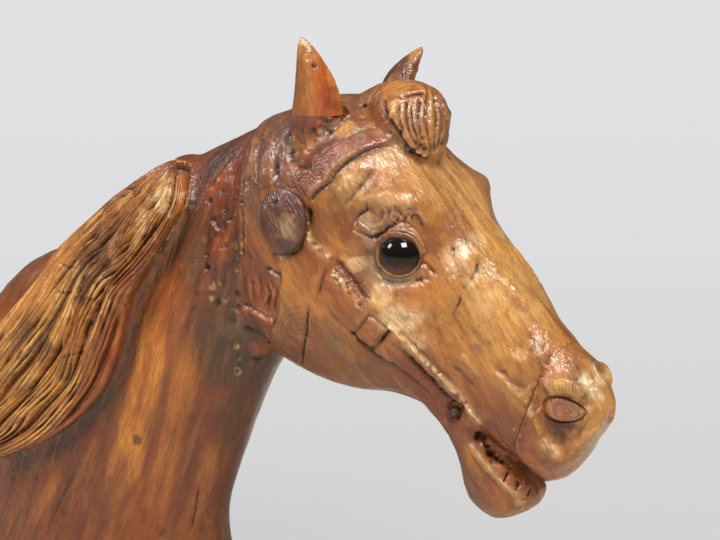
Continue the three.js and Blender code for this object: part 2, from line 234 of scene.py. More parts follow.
def halve(piece, place, out, keep_front=False):
    """Saws a piece through and keeps one half, with the cut closed flat."""
    edit(piece, bpy.ops.mesh.bisect, plane_co=tuple(np.asarray(place) * MM), plane_no=tuple(out),
         use_fill=True, clear_inner=keep_front, clear_outer=not keep_front)


def aimed(look):
    """The turn that brings +Z to the way a piece looks."""
    return Vector(look).to_track_quat("Z", "Y").to_euler()


def added(name):
    """The primitive just added, named, with its place and turn in its mesh."""
    piece = bpy.context.active_object
    piece.name = name
    take_up(piece)
    bpy.ops.object.transform_apply(location=True, rotation=True, scale=True)
    return piece


def finish_piece(piece, name, material, body_slot, *nodes, sharp=50):
    """Smooth shading, material, body, and the CAD nodes that it stands for; body_slot is not used."""
    piece.name = name
    piece.data.name = name
    piece.data.materials.clear()
    piece.data.materials.append(material)
    take_up(piece)
    bpy.ops.object.shade_smooth_by_angle(angle=math.radians(sharp))
    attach(piece, "root")
    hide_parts(*nodes)


# ---- Carving tools ----
class Run:
    """The part of a surface near a route: which vertices, how far across and how far along it."""

    def __init__(self, index, across, place, length):
        self.index = index
        self.across = across
        self.place = place
        self.length = length

    def taper(self, share):
        """1 along the middle, falling smoothly to 0 over a share of the length at each end."""
        reach = max(share * self.length, 0.8)
        end = 1 - ease(self.place, self.length - reach, self.length + 0.3)
        return ease(self.place, -0.3, reach) * end


def surface_normals(mesh, points, cuts):
    """Normals of the carved skin, with the sawn faces left out, and which vertices are on which cut."""
    starts = read(mesh.polygons, "loop_start", 1, np.int32)
    sizes = read(mesh.polygons, "loop_total", 1, np.int32)
    corners = read(mesh.loops, "vertex_index", 1, np.int32)
    facing = read(mesh.polygons, "normal", 3) * read(mesh.polygons, "area")[:, None]
    on_cut = []
    for place, out in cuts:
        near_plane = np.abs((points - place) @ out) < 0.02
        sawn = np.minimum.reduceat(near_plane[corners].astype(int), starts) > 0
        facing[sawn] = 0
        on_cut.append((near_plane, out))
    owner = np.repeat(np.arange(len(sizes)), sizes)
    axes = [np.bincount(corners, facing[owner, k], len(points)) for k in range(3)]
    return unit(np.stack(axes, 1)), on_cut


class Carving:
    """A block's surface, with the tools that cut, raise, wear and stain it."""

    def __init__(self, piece, seed, flat=()):
        mesh = piece.data
        self.piece = piece
        self.cuts = flat
        self.edges = edges_of(mesh)
        self.points = points_of(mesh)
        self.tree = BVHTree.FromPolygons(self.points.tolist(), [tuple(p.vertices) for p in mesh.polygons])
        self.normals, self.flat = surface_normals(mesh, self.points, flat)
        count = len(self.points)
        self.rise = np.zeros(count)
        self.relief = np.zeros(count)
        self.move = np.zeros((count, 3))
        self.tone = np.tile(linear("#9A6232"), (count, 1))
        self.colour = np.zeros((count, 3))
        self.cover = np.zeros(count)
        # old dirt and painted shade share this one layer
        self.grime = np.zeros(count)
        self.wear = np.zeros(count)
        self.gloss = np.zeros(count)
        self.draw = np.random.default_rng(seed)

    def settle(self):
        """Applies what has been shaped so far, so that the next cuts follow it."""
        mesh = self.piece.data
        move = self.normals * self.rise[:, None] + self.move
        for near_plane, out in self.flat:
            move[near_plane] -= (move[near_plane] @ out)[:, None] * out
        self.points = self.points + move
        self.relief += self.rise
        self.rise = np.zeros(len(self.points))
        self.move = np.zeros((len(self.points), 3))
        set_points(mesh, self.points)
        self.normals, self.flat = surface_normals(mesh, self.points, self.cuts)
        self.tree = BVHTree.FromPolygons(self.points.tolist(), [tuple(p.vertices) for p in mesh.polygons])

    # -- finding places --
    def near(self, route, reach, side=RIGHT):
        route = np.asarray(route, float) * (1, side, 1)
        path = smooth_curve(route)
        found = [self.tree.find_nearest(Vector(p)) for p in path]
        path = np.array([f[0] for f in found])
        facing = np.array([f[1] for f in found])
        box = ((self.points > path.min(0) - reach) & (self.points < path.max(0) + reach)).all(1)
        index = np.nonzero(box)[0]
        if not len(index):
            return Run(index, np.zeros(0), np.zeros(0), 1.0)
        here = self.points[index]
        square = (here ** 2).sum(1)[:, None] + (path ** 2).sum(1) - 2 * here @ path.T
        nearest = square.argmin(1)
        close = square[np.arange(len(index)), nearest] < (1.5 * reach) ** 2
        index, here, nearest = index[close], here[close], nearest[close]
        ahead = unit(np.gradient(path, axis=0))
        station = np.concatenate([[0], np.cumsum(np.linalg.norm(np.diff(path, axis=0), axis=1))])
        gap = here - path[nearest]
        along = (gap * ahead[nearest]).sum(1)
        sideways = unit(np.cross(ahead, facing))[nearest]
        across = (gap * sideways).sum(1) * side
        same_face = (self.normals[index] * facing[nearest]).sum(1) > 0
        keep = same_face & (np.abs(across) < reach)
        place = station[nearest] + along
        return Run(index[keep], across[keep], place[keep], station[-1])

    def around(self, at, radii, side=RIGHT):
        """Vertices near a point, with a soft share that is 1 at the point."""
        centre = np.asarray(at, float) * (1, side, 1)
        far = (((self.points - centre) / radii) ** 2).sum(1)
        index = np.nonzero(far < 6)[0]
        return index, np.exp(-far[index])

    # -- shaping --
    def cut(self, route, width, depth, grime=0, stain=None, taper=0.3, shoulder=0.35, sides=BOTH):
        """A gouge along a route with soft shoulders, or a ridge where the depth is negative."""
        for side in sides:
            run = self.near(route, width * 1.6 + 1.5, side)
            here = self.points[run.index]
            along = run.place[:, None] * (1,0,0)
            wander = noise(along, 7, self.draw.random() * 9)
            ragged = noise(here, 2.6, 8)
            across = run.across + width * (0.15 * wander + 0.12 * ragged)
            core = np.exp(-(across / (0.36 * width)) ** 2)
            broad = np.exp(-(across / (0.95 * width)) ** 2)
            ends = run.taper(taper)
            force = ((1 - shoulder) * core + shoulder * broad) * ends
            self.rise[run.index] += -depth * force * (1 + 0.22 * wander + 0.25 * ragged)
            # the core of the cut darkens with old dirt and painted shade
            self.grime[run.index] += grime * core * ends * (0.8 + 0.5 * ragged)
            if stain:
                self.tint(run.index, broad * ends, *stain)

    def band(self, route, width, rise, stain, taper=0.02, sides=BOTH):
        """A raised strap along a route, flat on top, with crisp worn edges, and old soiling and painted
        shade beside them.
        """
        for side in sides:
            run = self.near(route, width * 0.5 + 6, side)
            edge = 1.2
            off = np.abs(run.across) + 0.5 * noise(self.points[run.index], 6.0, 4)
            ends = run.taper(taper)
            top = (1 - ease(off, width / 2 - edge, width / 2 + edge * 0.3)) * ends
            beside = np.exp(-((off - width / 2 - 1.0) / 1.5) ** 2) * ends
            self.rise[run.index] += rise * top - 0.5 * rise * beside
            self.grime[run.index] += 0.3 * beside
            self.tint(run.index, top, *stain)

    def ledge(self, route, rise, run_out, stain=None, taper=0.15, sides=BOTH):
        """A step along a route: the surface stands up sharply on its right hand and runs out softly."""
        for side in sides:
            run = self.near(route, run_out * 2.2, side)
            across = run.across + 0.6 * noise(self.points[run.index], 5.0, 6)
            up = ease(across, -0.8, 0.8) * np.exp(-(np.maximum(across, 0) / run_out) ** 2)
            ends = run.taper(taper)
            self.rise[run.index] += rise * up * ends
            # old dirt and painted shade at the foot of the step
            self.grime[run.index] += 0.5 * np.exp(-((across + 0.8) / 1.3) ** 2) * ends
            if stain:
                self.tint(run.index, up * ends, *stain)

    def swell(self, at, radii, amount, sides=BOTH, layer="rise"):
        """A soft swelling, a hollow where the amount is negative, or a soft patch in another layer."""
        for side in sides:
            index, share = self.around(at, radii, side)
            getattr(self, layer)[index] += amount * share

    def chips(self, route, count, spread, size, depth, stains, sides=BOTH):
        """Small broken places scattered along a route."""
        for side in sides:
            path = smooth_curve(np.asarray(route, float) * (1, side, 1))
            for _ in range(count):
                at = path[self.draw.integers(len(path))] + self.draw.normal(0, spread, 3)
                at = np.array(self.tree.find_nearest(Vector(at))[0])
                radii = size * self.draw.uniform(0.5, 1.5, 3)
                bite = depth * self.draw.uniform(0.3, 1.2)
                far = (((self.points - at) / radii) ** 2).sum(1)
                index = np.nonzero(far < 1)[0]
                force = (1 - far[index]) ** 0.7
                self.rise[index] += -bite * force
                self.tint(index, force, *stains[self.draw.integers(len(stains))])

    def facets(self, size, depth):
        """Broad shallow marks of the gouge all over."""
        self.rise += depth * (noise(self.points, size, 3) + 0.5 * noise(self.points, size * 0.45, 5))

    # -- finish --
    def tint(self, index, share, code, strength=1.0):
        """Lays a stain over what is there."""
        amount = np.clip(share * strength, 0, 1)
        stain = np.array(linear(code))
        kept = self.cover[index] * (1 - amount)
        total = np.maximum(kept + amount, 1e-6)
        self.colour[index] = (self.colour[index] * kept[:, None] + stain * amount[:, None]) / total[:, None]
        self.cover[index] = total

    def tones(self, patches):
        """Broad tones of the stained wood, each round a place, melting into each other."""
        folded = np.column_stack([self.points[:, 0], -np.abs(self.points[:, 1]), self.points[:, 2]])
        total = np.full(len(folded), 1e-4)
        mixed = total[:, None] * linear("#8E5C30")
        for at, reach, code in patches:
            share = np.exp(-((folded - at) ** 2).sum(1) / reach ** 2)
            total = total + share
            mixed = mixed + share[:, None] * linear(code)
        self.tone = mixed / total[:, None]

    def stain(self, at, radii, code, strength=1, sides=BOTH, ragged=0.5):
        """A patch of another colour with a ragged edge."""
        for side in sides:
            index, share = self.around(at, np.asarray(radii, float), side)
            lumps = noise(self.points[index], float(np.mean(radii)) * 0.4, self.draw.random() * 9)
            torn = share + ragged * 0.5 * lumps
            self.tint(index, ease(torn, 0.18, 0.75), code, strength)

    def press(self, at, radii, depth):
        """Pushes a hollow straight in, so that a deep one can't fold over."""
        for side in BOTH:
            index, share = self.around(at, radii, side)
            inwards = -unit((self.normals[index] * share[:, None]).sum(0))
            self.move[index] += inwards * (depth * share)[:, None]

    def hatch(self, route, width, pitch, depth, grime=0.3, sides=BOTH):
        """Fine, broken marks of the gouge across a route, closer the longer it is."""
        for side in sides:
            run = self.near(route, width / 2, side)
            along = run.place * run.length + 0.25 * run.across + 0.8 * noise(self.points[run.index], 9.0, 5)
            stroke = (0.5 + 0.5 * np.cos(2 * math.pi * along / pitch)) ** 2
            share = stroke * run.taper(0.1) * (1 - ease(np.abs(run.across), 0.35 * width, 0.5 * width))
            self.rise[run.index] -= depth * share
            self.grime[run.index] += grime * share

    def rings(self, at, radii, pitch, code, strength, sides=BOTH):
        """Growth rings round a place, wavy and fading outwards."""
        for side in sides:
            index, share = self.around(at, radii, side)
            here = self.points[index]
            away = (here - np.asarray(at) * (1, side, 1)) * (1.25, 1, 1)
            far = np.linalg.norm(away, axis=1) + 1.5 * noise(here, 12.0, 3)
            line = 0.5 + 0.5 * np.sin(2 * math.pi * far / pitch)
            share = ease(share, 0.02, 0.35)
            self.tint(index, share * line ** 1.5, code, strength)
            self.rise[index] += -0.25 * share * line

    def done(self, grain):
        """Writes the shape to the mesh, and the finish to its attributes."""
        self.settle()
        mesh = self.piece.data
        near_by = averaged(self.relief, self.edges, 4)
        wide = averaged(self.relief, self.edges, 24)
        # painted shade: the hollows of the relief are darkened, in fine hollows and broad ones, through the
        # same layer as old dirt
        hollow = np.clip((near_by - self.relief) / 0.6, 0, 1) * 0.4
        hollow = hollow + np.clip((wide - near_by) / 1.6, 0, 1) * 0.7
        proud = np.clip((self.relief - near_by) / 0.5, 0, 1) + 0.6 * np.clip((near_by - wide) / 1.5, 0, 1)
        proud = averaged(proud, self.edges, 2)
        for key, kind, part, values in (
            ("grime", "FLOAT", "value", np.clip(0.6 * self.grime + hollow, 0, 1)),
            ("wear", "FLOAT", "value", np.clip(self.wear + 0.40 * proud, 0, 1)),
            ("gloss", "FLOAT", "value", np.clip(self.gloss, -1, 1)),
            ("tone", "FLOAT_COLOR", "color", np.column_stack([self.tone, np.ones(len(self.tone))])),
            ("stain", "FLOAT_COLOR", "color", np.column_stack([self.colour, np.clip(self.cover, 0, 1)])),
            ("grain", "FLOAT_VECTOR", "vector", grain),
        ):
            layer = mesh.attributes.new(key, kind, "POINT")
            layer.data.foreach_set(part, values.astype(np.float32).ravel())


def straight_grain(points, direction, wander=6.0):
    """Grain coordinates in mm: first along the fibres, then across them twice, bending gently."""
    along = unit(np.asarray(direction, float))
    across = unit(np.cross(along, (0.0, 1.0, 0.0)) + (0.0, 1e-6, 0.0))
    third = np.cross(along, across)
    sway = wander * noise(points, 70.0, 2)
    return np.stack([points @ along, points @ across + sway, points @ third + sway], 1)


# ---- The blocks of wood ----
def joint_plane(high, low):
    """A glue joint from two of its points in x and z: a place on it and the way forward."""
    place = np.array([(high[0] + low[0]) / 2, 0.0, (high[1] + low[1]) / 2])
    down = np.array(low, float) - high
    return place, unit(np.array([-down[1], 0.0, down[0]]))


GLUE_GAP = 0.3
NECK_JOINT = joint_plane((194, 345), (216, 190))
MUZZLE_JOINT = joint_plane((432, 234), (404, 156))
MOUTH_PLANE = (np.array([404.0, 0.0, 143.0]), np.array([0.6, 0.0, 0.8]))
MOUTH_CORNER = (400.3, 145.8)  # x, z where the joint meets the mouth
MOUTH_RUN = (0.8, -0.6)
EAR_LEVEL = 367.0
EYE_RADIUS = 14.5
EYE_LOOK = unit(np.array([0.22, -0.96, 0.12]))
EYE_CENTRE = np.array([334.0, -57.0, 284.0]) - EYE_RADIUS * EYE_LOOK
GROUND = (np.zeros(3), np.array([0.0, 0.0, 1.0]))
BLOCK_LEAN = 0.45  # how far neighbouring blocks run into each other before they are sawn apart


def cut_face(plane, way=0):
    """The sawn face on one side of a glue joint: ahead of its plane, or behind it."""
    place, out = plane
    return place + out * way * GLUE_GAP / 2, out


def rough_blocks(voxel, rounds):
    """All of the horse as one soft surface, before it is sawn into its blocks."""
    neck = copied_node("neck_block", "rough")
    points = points_of(neck.data)
    points[points[:, 2] < 0.5, 2] -= 6
    set_points(neck.data, points + NECK_JOINT[1] * BLOCK_LEAN)
    head = copied_node("head_block", "rough_head")
    muzzle = copied_node("muzzle_block", "rough_muzzle")
    set_points(muzzle.data, points_of(muzzle.data) - MUZZLE_JOINT[1] * BLOCK_LEAN)
    fills = [head, muzzle]
    for side in ("right", "left"):
        eye = copied_node("eye_" + side, "rough_eye")
        points = points_of(eye.data)
        set_points(eye.data, points.mean(0) + (points - points.mean(0)) * 1.05)
        stub = copied_node("ear_" + side, "rough_ear")
        set_points(stub.data, points_of(stub.data) - (0, 0, 0.8))
        halve(stub, (0, 0, EAR_LEVEL + 9), (0,0,1))
        fills += [eye, stub]
    take_up(neck)
    for piece in fills:
        piece.select_set(True)
    bpy.ops.object.join()
    remesh(neck, voxel, rounds)
    return neck


def sawn_neck(voxel):
    piece = rough_blocks(voxel, 8)
    halve(piece, *cut_face(NECK_JOINT, -1))
    halve(piece, (0,0,0), (0,0,1), keep_front=True)
    return piece


def muzzle_wedge(grow):
    """What lies in front of the muzzle joint and above the mouth, larger all round by a little."""
    x, z = MOUTH_CORNER
    back = MUZZLE_JOINT[1] * grow
    down = MOUTH_PLANE[1] * grow
    corner = (x - back[0] - down[0], z - back[2] - down[2])
    top = (corner[0] + 150 * 0.338, corner[1] + 150 * 0.941)
    out = (corner[0] + 220 * MOUTH_RUN[0], corner[1] + 220 * MOUTH_RUN[1])
    return prism([corner, top, (top[0] + 200, top[1]), (out[0] + 60, out[1])])


def sawn_head(voxel):
    piece = rough_blocks(voxel, 6)
    halve(piece, *cut_face(NECK_JOINT, 1), keep_front=True)
    apply_boolean(piece, "DIFFERENCE", muzzle_wedge(GLUE_GAP / 2))
    for side, x in (("right", 262), ("left", 270)):
        y = -39 if side == "right" else 39
        bpy.ops.mesh.primitive_cylinder_add(
            vertices=48, radius=1, depth=1, location=(x * MM, y * MM, (EAR_LEVEL + 15) * MM),
            rotation=(0, 0, math.radians(35 if side == "right" else -35)),
            scale=(20 * MM, 13.5 * MM, 30 * MM),
        )
        apply_boolean(piece, "DIFFERENCE", added("ear_cut"))
    return piece


def sawn_muzzle(voxel):
    piece = rough_blocks(voxel, 8)
    apply_boolean(piece, "INTERSECT", muzzle_wedge(-GLUE_GAP / 2))
    return piece


# ---- Finishes ----
def node(tree, kind, inputs=None, **settings):
    """Adds a node with its settings, and sets or links its inputs."""
    made = tree.nodes.new("ShaderNode" + kind)
    for key, value in settings.items():
        setattr(made, key, value)
    for key, value in (inputs or {}).items():
        if isinstance(value, bpy.types.NodeSocket):
            tree.links.new(value, made.inputs[key])
        else:
            made.inputs[key].default_value = value
    return made


def ramp_stops(ramp, *stops):
    """Sets a colour ramp's stops, each a place and a linear colour."""
    elements = ramp.color_ramp.elements
    while len(elements) < len(stops):
        elements.new(0.5)
    for element, (place, colour) in zip(elements, stops):
        element.position = place
        element.color = (*colour[:3], 1)
    return ramp.outputs[0]


def with_tree(data, name):
    """A new material or world, and its node tree, empty."""
    made = data.new(name)
    made.use_nodes = True
    made.node_tree.nodes.clear()
    return made, made.node_tree


MARK_DEPTHS = (0.07, 1, 0.85, 0.04, 0.6)  # mm, of rasp, lumps, dashes, chatter and mottle


def wood_finish(name, colours, fleck=(15, 8), lightest=0.5, varnish=(1.0, 0.86, 0.64)):
    """Old stained and varnished wood, carved by hand and long handled.

    To the eye: warm streaks along the grain, old soiling and painted shade in the cuts, pale wood where the
    edges are worn through, and an uneven satin shine over fine tool marks.
    """
    material, tree = with_tree(bpy.data.materials, name)
    value = {}
    parts = {"grain": "Vector", "tone": "Color", "grime": "Fac", "wear": "Fac", "gloss": "Fac"}
    for key, part in parts.items():
        value[key] = node(tree, "Attribute", attribute_name=key).outputs[part]
    stain = node(tree, "Attribute", attribute_name="stain").outputs

    # lumps stretched along the fibres: their length and breadth in mm, then detail and distortion
    for key, along, across, detail, twist in (
        ("streaks", 110, 7, 5, 0.3), ("cloud", 60, 24, 4, 0), ("fine", 22, 1, 5, 0),
        ("pores", 7, 0.5, 2, 0), ("rasp", 1.4, 9, 2, 0), ("lumps", 9, 5, 2, 0), ("dashes", 7, 2.2, 3, 0.6),
        ("mottle", *fleck, 3, 0.5), ("other", 1.3 * fleck[0], 1.2 * fleck[1], 3, 0.4),
        ("broken", 6, 1.4, 4, 0), ("chatter", 1.7, 14, 2, 2.5),
    ):
        place = {"Vector": value["grain"], "Scale": (1 / along, 1 / across, 1 / across)}
        pattern = {"Vector": node(tree, "Mapping", place).outputs[0], "Detail": detail, "Distortion": twist}
        if key == "chatter":
            made = node(tree, "TexWave", {**pattern, "Scale": 0.314, "Detail Scale": 0.6})
        else:
            made = node(tree, "TexNoise", {**pattern, "Scale": 1})
        value[key] = made.outputs["Fac"]

    # sums, step by step: what is made, how, and what goes in; a spread goes from one range to another
    spread = ("MapRange", {})
    add, subtract, times = (("Math", {"operation": how}) for how in ("ADD", "SUBTRACT", "MULTIPLY"))
    share, grey = ("Clamp", {}), ("CombineColor", {})
    for key, (kind, settings), *given in (
        ("stained", spread, "fine", 0.36, 0.62, 0.62, 1.15),
        ("darker", spread, "cloud", 0.50, 0.75, 0, 0.40),
        ("reddish", spread, "mottle", 0.50, 0.72, 0, 0.50),
        ("golden", spread, "other", 0.52, 0.72, 0, lightest),
        ("smoky", spread, "mottle", 0.44, 0.26, 0, 0.40),
        ("shade", spread, "fine", 0.3, 0.7, 0.94, 1.05),
        ("pore_shade", spread, "pores", 0.30, 0.46, 0.86, 1),
        ("rasp_shade", spread, "rasp", 0.3, 0.7, 0.97, 1.03),
        ("dash_shade", spread, "dashes", 0.35, 0.6, 0.84, 1.06),
        ("chatter_shade", spread, "chatter", 0, 1, 0.97, 1.01),
        ("shade", times, "shade", "pore_shade"),
        ("shade", times, "shade", "rasp_shade"),
        ("shade", times, "shade", "dash_shade"),
        ("shade", times, "shade", "chatter_shade"),
        ("shade", grey, "shade", "shade", "shade"),
        ("ragged", spread, "broken", 0.36, 0.64, -0.25, 0.25),
        ("bare", add, "wear", "ragged"),
        ("bare", spread, "bare", 0.35, 0.85, 0, 0.85),
        ("worn", spread, "wear", 0.02, 0.2),
        ("bare", times, "bare", "worn"),
        ("bare", share, "bare"),
        ("ragged", times, "ragged", 0.45),
        # old dirt and painted shade in the cuts and hollows, mixed towards the dirt colour below
        ("soot", add, "grime", "ragged"),
        ("soot", spread, "soot", 0.12, 0.85, 0, 0.94),
        ("soiled", spread, "grime", 0.02, 0.15),
        ("soot", times, "soot", "soiled"),
        ("soot", share, "soot"),
        ("height", times, "fine", 0.08),
        ("pits", spread, "pores", 0.28, 0.46),
        ("pits", times, "pits", 0.10),
        ("height", add, "height", "pits"),
        *(step for marks, depth in zip(("rasp", "lumps", "dashes", "chatter", "mottle"), MARK_DEPTHS)
          for step in (("mark", times, marks, depth), ("height", add, "height", "mark"))),
        ("rough", spread, "cloud", 0.3, 0.7, 0.34, 0.54),
        ("mark", times, "bare", 0.15),
        ("rough", add, "rough", "mark"),
        ("mark", times, "soot", 0.18),
        ("rough", add, "rough", "mark"),
        ("mark", times, "gloss", 0.15),
        ("rough", subtract, "rough", "mark"),
    ):
        inputs = {place: value.get(source, source) for place, source in enumerate(given)}
        value[key] = node(tree, kind, inputs, **settings).outputs[0]

    # the varnish, laid last, has gone amber
    streaks = ramp_stops(
        node(tree, "ValToRGB", {"Fac": value["streaks"]}),
        (0.28, (0.50, 0.40, 0.34)), (0.44, (0.86, 0.80, 0.74)),
        (0.58, (1.06, 1.06, 1.06)), (0.80, (1.22, 1.32, 1.42)))
    inputs = {0: stain["Alpha"], 1: value["stained"]}
    stained = node(tree, "Math", inputs, operation="MULTIPLY", use_clamp=True)
    colour = value["tone"]
    for how, share, top in (
        ("MULTIPLY", 1, streaks), ("MIX", stained.outputs[0], stain["Color"]),
        ("MIX", value["darker"], colours.dark), ("MIX", value["reddish"], linear("#7E3E1C")),
        ("MIX", value["golden"], linear("#C08438")), ("MIX", value["smoky"], linear("#4E3A2E")),
        ("MULTIPLY", 1, value["shade"]), ("MIX", value["bare"], colours.pale),
        ("MIX", value["soot"], colours.dirt_and_shade), ("MULTIPLY", 1, varnish),
    ):
        top = top if isinstance(top, bpy.types.NodeSocket) else (*top, 1)
        inputs = {0: share, 6: colour, 7: top}
        colour = node(tree, "Mix", inputs, data_type="RGBA", blend_type=how).outputs[2]
    bump = node(tree, "Bump", {"Strength": 0.8, "Distance": 1 * MM, "Height": value["height"]}).outputs[0]
    shader = node(tree, "BsdfPrincipled", {
        "Base Color": colour, "Roughness": value["rough"], "Normal": bump, "IOR": 1.45,
        "Coat Weight": 1, "Coat Roughness": 0.11, "Coat Normal": bump})
    node(tree, "OutputMaterial", {"Surface": shader.outputs[0]})
    return material


def metal_finish(name, colours):
    """Iron gone dull grey and brown: rough, with patches of rust a few millimetres across."""
    material, tree = with_tree(bpy.data.materials, name)
    place = node(tree, "TexCoord").outputs["Object"]
    patches = node(tree, "TexNoise", {"Vector": place, "Scale": 700, "Detail": 4}).outputs["Fac"]
    mixed = ramp_stops(node(tree, "ValToRGB", {"Fac": patches}), (0.40, colours.iron), (0.62, colours.rust))
    bump = node(tree, "Bump", {"Strength": 0.6, "Distance": 0.3 * MM, "Height": patches})
    rough = node(tree, "MapRange", {"Value": patches, "To Min": 0.45, "To Max": 0.8})
    shader = node(tree, "BsdfPrincipled", {
        "Base Color": mixed, "Metallic": 0.8, "Roughness": rough.outputs[0], "Normal": bump.outputs[0]})
    node(tree, "OutputMaterial", {"Surface": shader.outputs[0]})
    return material


def glass_finish(name, colours):
    """A glass eye: near black, brown low down partly from the paint behind the glass and partly as a
    painted reflection, under a hard clear polish.
    """
    material, tree = with_tree(bpy.data.materials, name)
    place = node(tree, "TexCoord").outputs["Object"]
    height = node(tree, "SeparateXYZ", {"Vector": place}).outputs["Z"]
    low = (EYE_CENTRE[2] - 13) * MM
    share = node(tree, "MapRange", {"Value": height, "From Min": low, "From Max": low + 16 * MM})
    cloud = node(tree, "TexNoise", {"Vector": place, "Scale": 260, "Detail": 3}).outputs["Fac"]
    cloud = node(tree, "Math", {0: cloud, 1: 0.25}, operation="MULTIPLY")
    part = node(tree, "Math", {0: share.outputs[0], 1: cloud.outputs[0]}, operation="ADD").outputs[0]
    deep = colours.glass
    ramp = node(tree, "ValToRGB", {"Fac": part})
    colour = ramp_stops(ramp, (0.20, colours.amber), (0.72, deep), (0.95, deep))
    shader = node(tree, "BsdfPrincipled", {"Base Color": colour, "Roughness": 0.04, "IOR": 1.5})
    node(tree, "OutputMaterial", {"Surface": shader.outputs[0]})
    return material


def painted_floor(name, colours):
    """Smooth matt board, pale and evenly lit: most of what shows is its own glow, dimmer close by."""
    material, tree = with_tree(bpy.data.materials, name)
    place = node(tree, "TexCoord").outputs["Object"]
    away = node(tree, "VectorMath", {0: place, 1: (-0.574, 0.819, 0.0)}, operation="DOT_PRODUCT")
    share = node(tree, "MapRange", {"Value": away.outputs["Value"], "From Max": 4})
    tints = ramp_stops(node(tree, "ValToRGB", {"Fac": share.outputs[0]}),
                       (0, linear("#D3D4D6")), (0.3, linear("#E0E1E3")), (1, linear("#E6E7E9")))
    matt = node(tree, "BsdfDiffuse", {"Color": (*colours.backdrop, 1), "Roughness": 0.5})
    glow = node(tree, "Emission", {"Color": tints, "Strength": 1})
    seen = node(tree, "LightPath").outputs["Is Camera Ray"]
    share = node(tree, "Math", {0: seen, 1: 0.93}, operation="MULTIPLY").outputs[0]
    mixed = node(tree, "MixShader", {0: share, 1: matt.outputs[0], 2: glow.outputs[0]})
    node(tree, "OutputMaterial", {"Surface": mixed.outputs[0]})
    return material


FINISHES = {
    "old_wood": ("Old varnished and stained wood", wood_finish, {}),
    "neck_wood": ("Old varnished wood of the neck, streaked along the grain", wood_finish,
                  {"fleck": (50, 6), "lightest": 0.25, "varnish": (0.97, 0.79, 0.42)}),
    "rosette_wood": ("Old dark varnished wood of the rosettes", wood_finish, {"lightest": 0.12}),
    "mane_wood": ("Old varnished wood of the mane", wood_finish, {"fleck": (40, 5)}),
    "old_iron": ("Old rusty iron", metal_finish, {}),
    "glass": ("Black glass with amber", glass_finish, {}),
    "floor": ("Matt white board", painted_floor, {}),
}


def finish(kind):
    """A finish by its short name, made once."""
    name, make, settings = FINISHES[kind]
    made = bpy.data.materials.get(name)
    return made or make(name, bpy.context.scene.horse_colours, **settings)


# ---- Settings ----
def colour_prop(label, about, code):
    return bpy.props.FloatVectorProperty(
        name=label, description=about, subtype="COLOR", size=3, min=0, max=1, default=linear(code))


def length_prop(label, about, mm):
    return bpy.props.FloatProperty(name=label, description=about, unit="LENGTH", min=0, default=mm * MM)


class HorseColours(bpy.types.PropertyGroup):
    """Colours of the horse's finishes."""

    dark: colour_prop("Dark streaks", "Stained wood in its darkest streaks", "#5A2D12")
    pale: colour_prop("Worn wood", "Bare wood where the edges are worn through", "#CFA66C")
    # this colour draws old dirt and the painted shade in cuts and hollows alike
    dirt_and_shade: colour_prop("Dirt", "Old dirt in the cuts", "#25150C")
    iron: colour_prop("Iron", "The nails and what is left of the bit", "#6A6560")
    rust: colour_prop("Rust", "Rust on the iron", "#4A3022")
    glass: colour_prop("Glass", "The eye where it is darkest", "#0A0706")
    # the amber is partly the eye's own colour and partly painted reflection
    amber: colour_prop("Amber", "The lower part of the eye", "#6E4226")
    backdrop: colour_prop("Backdrop", "The floor, out to the horizon", "#BDB4AA")


class HorseSizes(bpy.types.PropertyGroup):
    """Sizes of the carving that a maker would change."""

    head_voxel: length_prop("Head detail", "Spacing of the rough head's faces", 2.45)
    neck_voxel: length_prop("Neck detail", "Spacing of the rough neck's faces", 2.95)
    muzzle_voxel: length_prop("Muzzle detail", "Spacing of the rough muzzle's faces", 1.2)
    ear_voxel: length_prop("Ear detail", "Spacing of the ears' faces", 1.0)
    rosette_radius: length_prop("Rosette radius", "Radius of each round ornament", 21.0)
    nail_radius: length_prop("Nail radius", "Radius of the heads of the nails", 1.8)
    strand_pitch: length_prop("Strand pitch", "Distance between the mane's fine strands", 3.6)
    strand_depth: length_prop("Strand depth", "Depth of the cuts between the fine strands", 1.7)


def sizes():
    return bpy.context.scene.horse_sizes


SAND = "#CBA468"
GOLD = "#B88A46"
OCHRE = "#A26D33"
TAN = "#936232"
UMBER = "#7B4C26"
ORANGE = "#A9541D"
RED_BROWN = "#77371A"
MAUVE = "#6D4738"
BROWN = "#55301A"
GREY = "#6E655C"
CREAM = "#D9BC92"
NEAR_BLACK = "#1A100A"
CHIP_COLOURS = ((CREAM, 0.9), (GREY, 0.8), (NEAR_BLACK, 0.9))


# ---- Head ----
HEAD_TONES = (
    ((228,-48,332), 18, MAUVE), ((254,-48,344), 14, RED_BROWN), ((279,-44,352), 16, MAUVE),
    ((286,-20,366), 16, UMBER), ((312,-17,384), 18, OCHRE), ((335,-18,366), 16, BROWN),
    ((292,-51,325), 16, TAN), ((326,-15,339), 22, "#AE8250"), ((346,1,319), 22, "#C09A66"),
    ((276,-57,298), 14, UMBER), ((306,-54,300), 12, UMBER), ((334,-50,309), 12, TAN),
    ((296,-57,276), 14, OCHRE), ((356,-37,287), 18, TAN), ((374,-18,286), 16, GOLD),
    ((352,-43,255), 24, OCHRE), ((331,-51,248), 20, SAND), ((397,-19,257), 24, SAND),
    ((395,-28,226), 24, GOLD), ((376,-32,211), 16, TAN), ((423,-19,228), 18, TAN),
    ((404,-29,195), 18, UMBER), ((389,-27,178), 14, RED_BROWN), ((260,-57,253), 18, OCHRE),
    ((245,-49,215), 22, UMBER), ((292,-57,243), 18, OCHRE), ((278,-48,206), 20, TAN),
    ((308,-45,203), 20, UMBER), ((331,-45,207), 16, RED_BROWN), ((349,-36,187), 16, RED_BROWN),
    ((334,-49,228), 14, TAN), ((379,-22,128), 16, UMBER), ((396,-19,127), 12, TAN),
    ((372,-24,148), 14, UMBER), ((225,-53,244), 14, RED_BROWN), ((202,-25,200), 12, ORANGE),
)


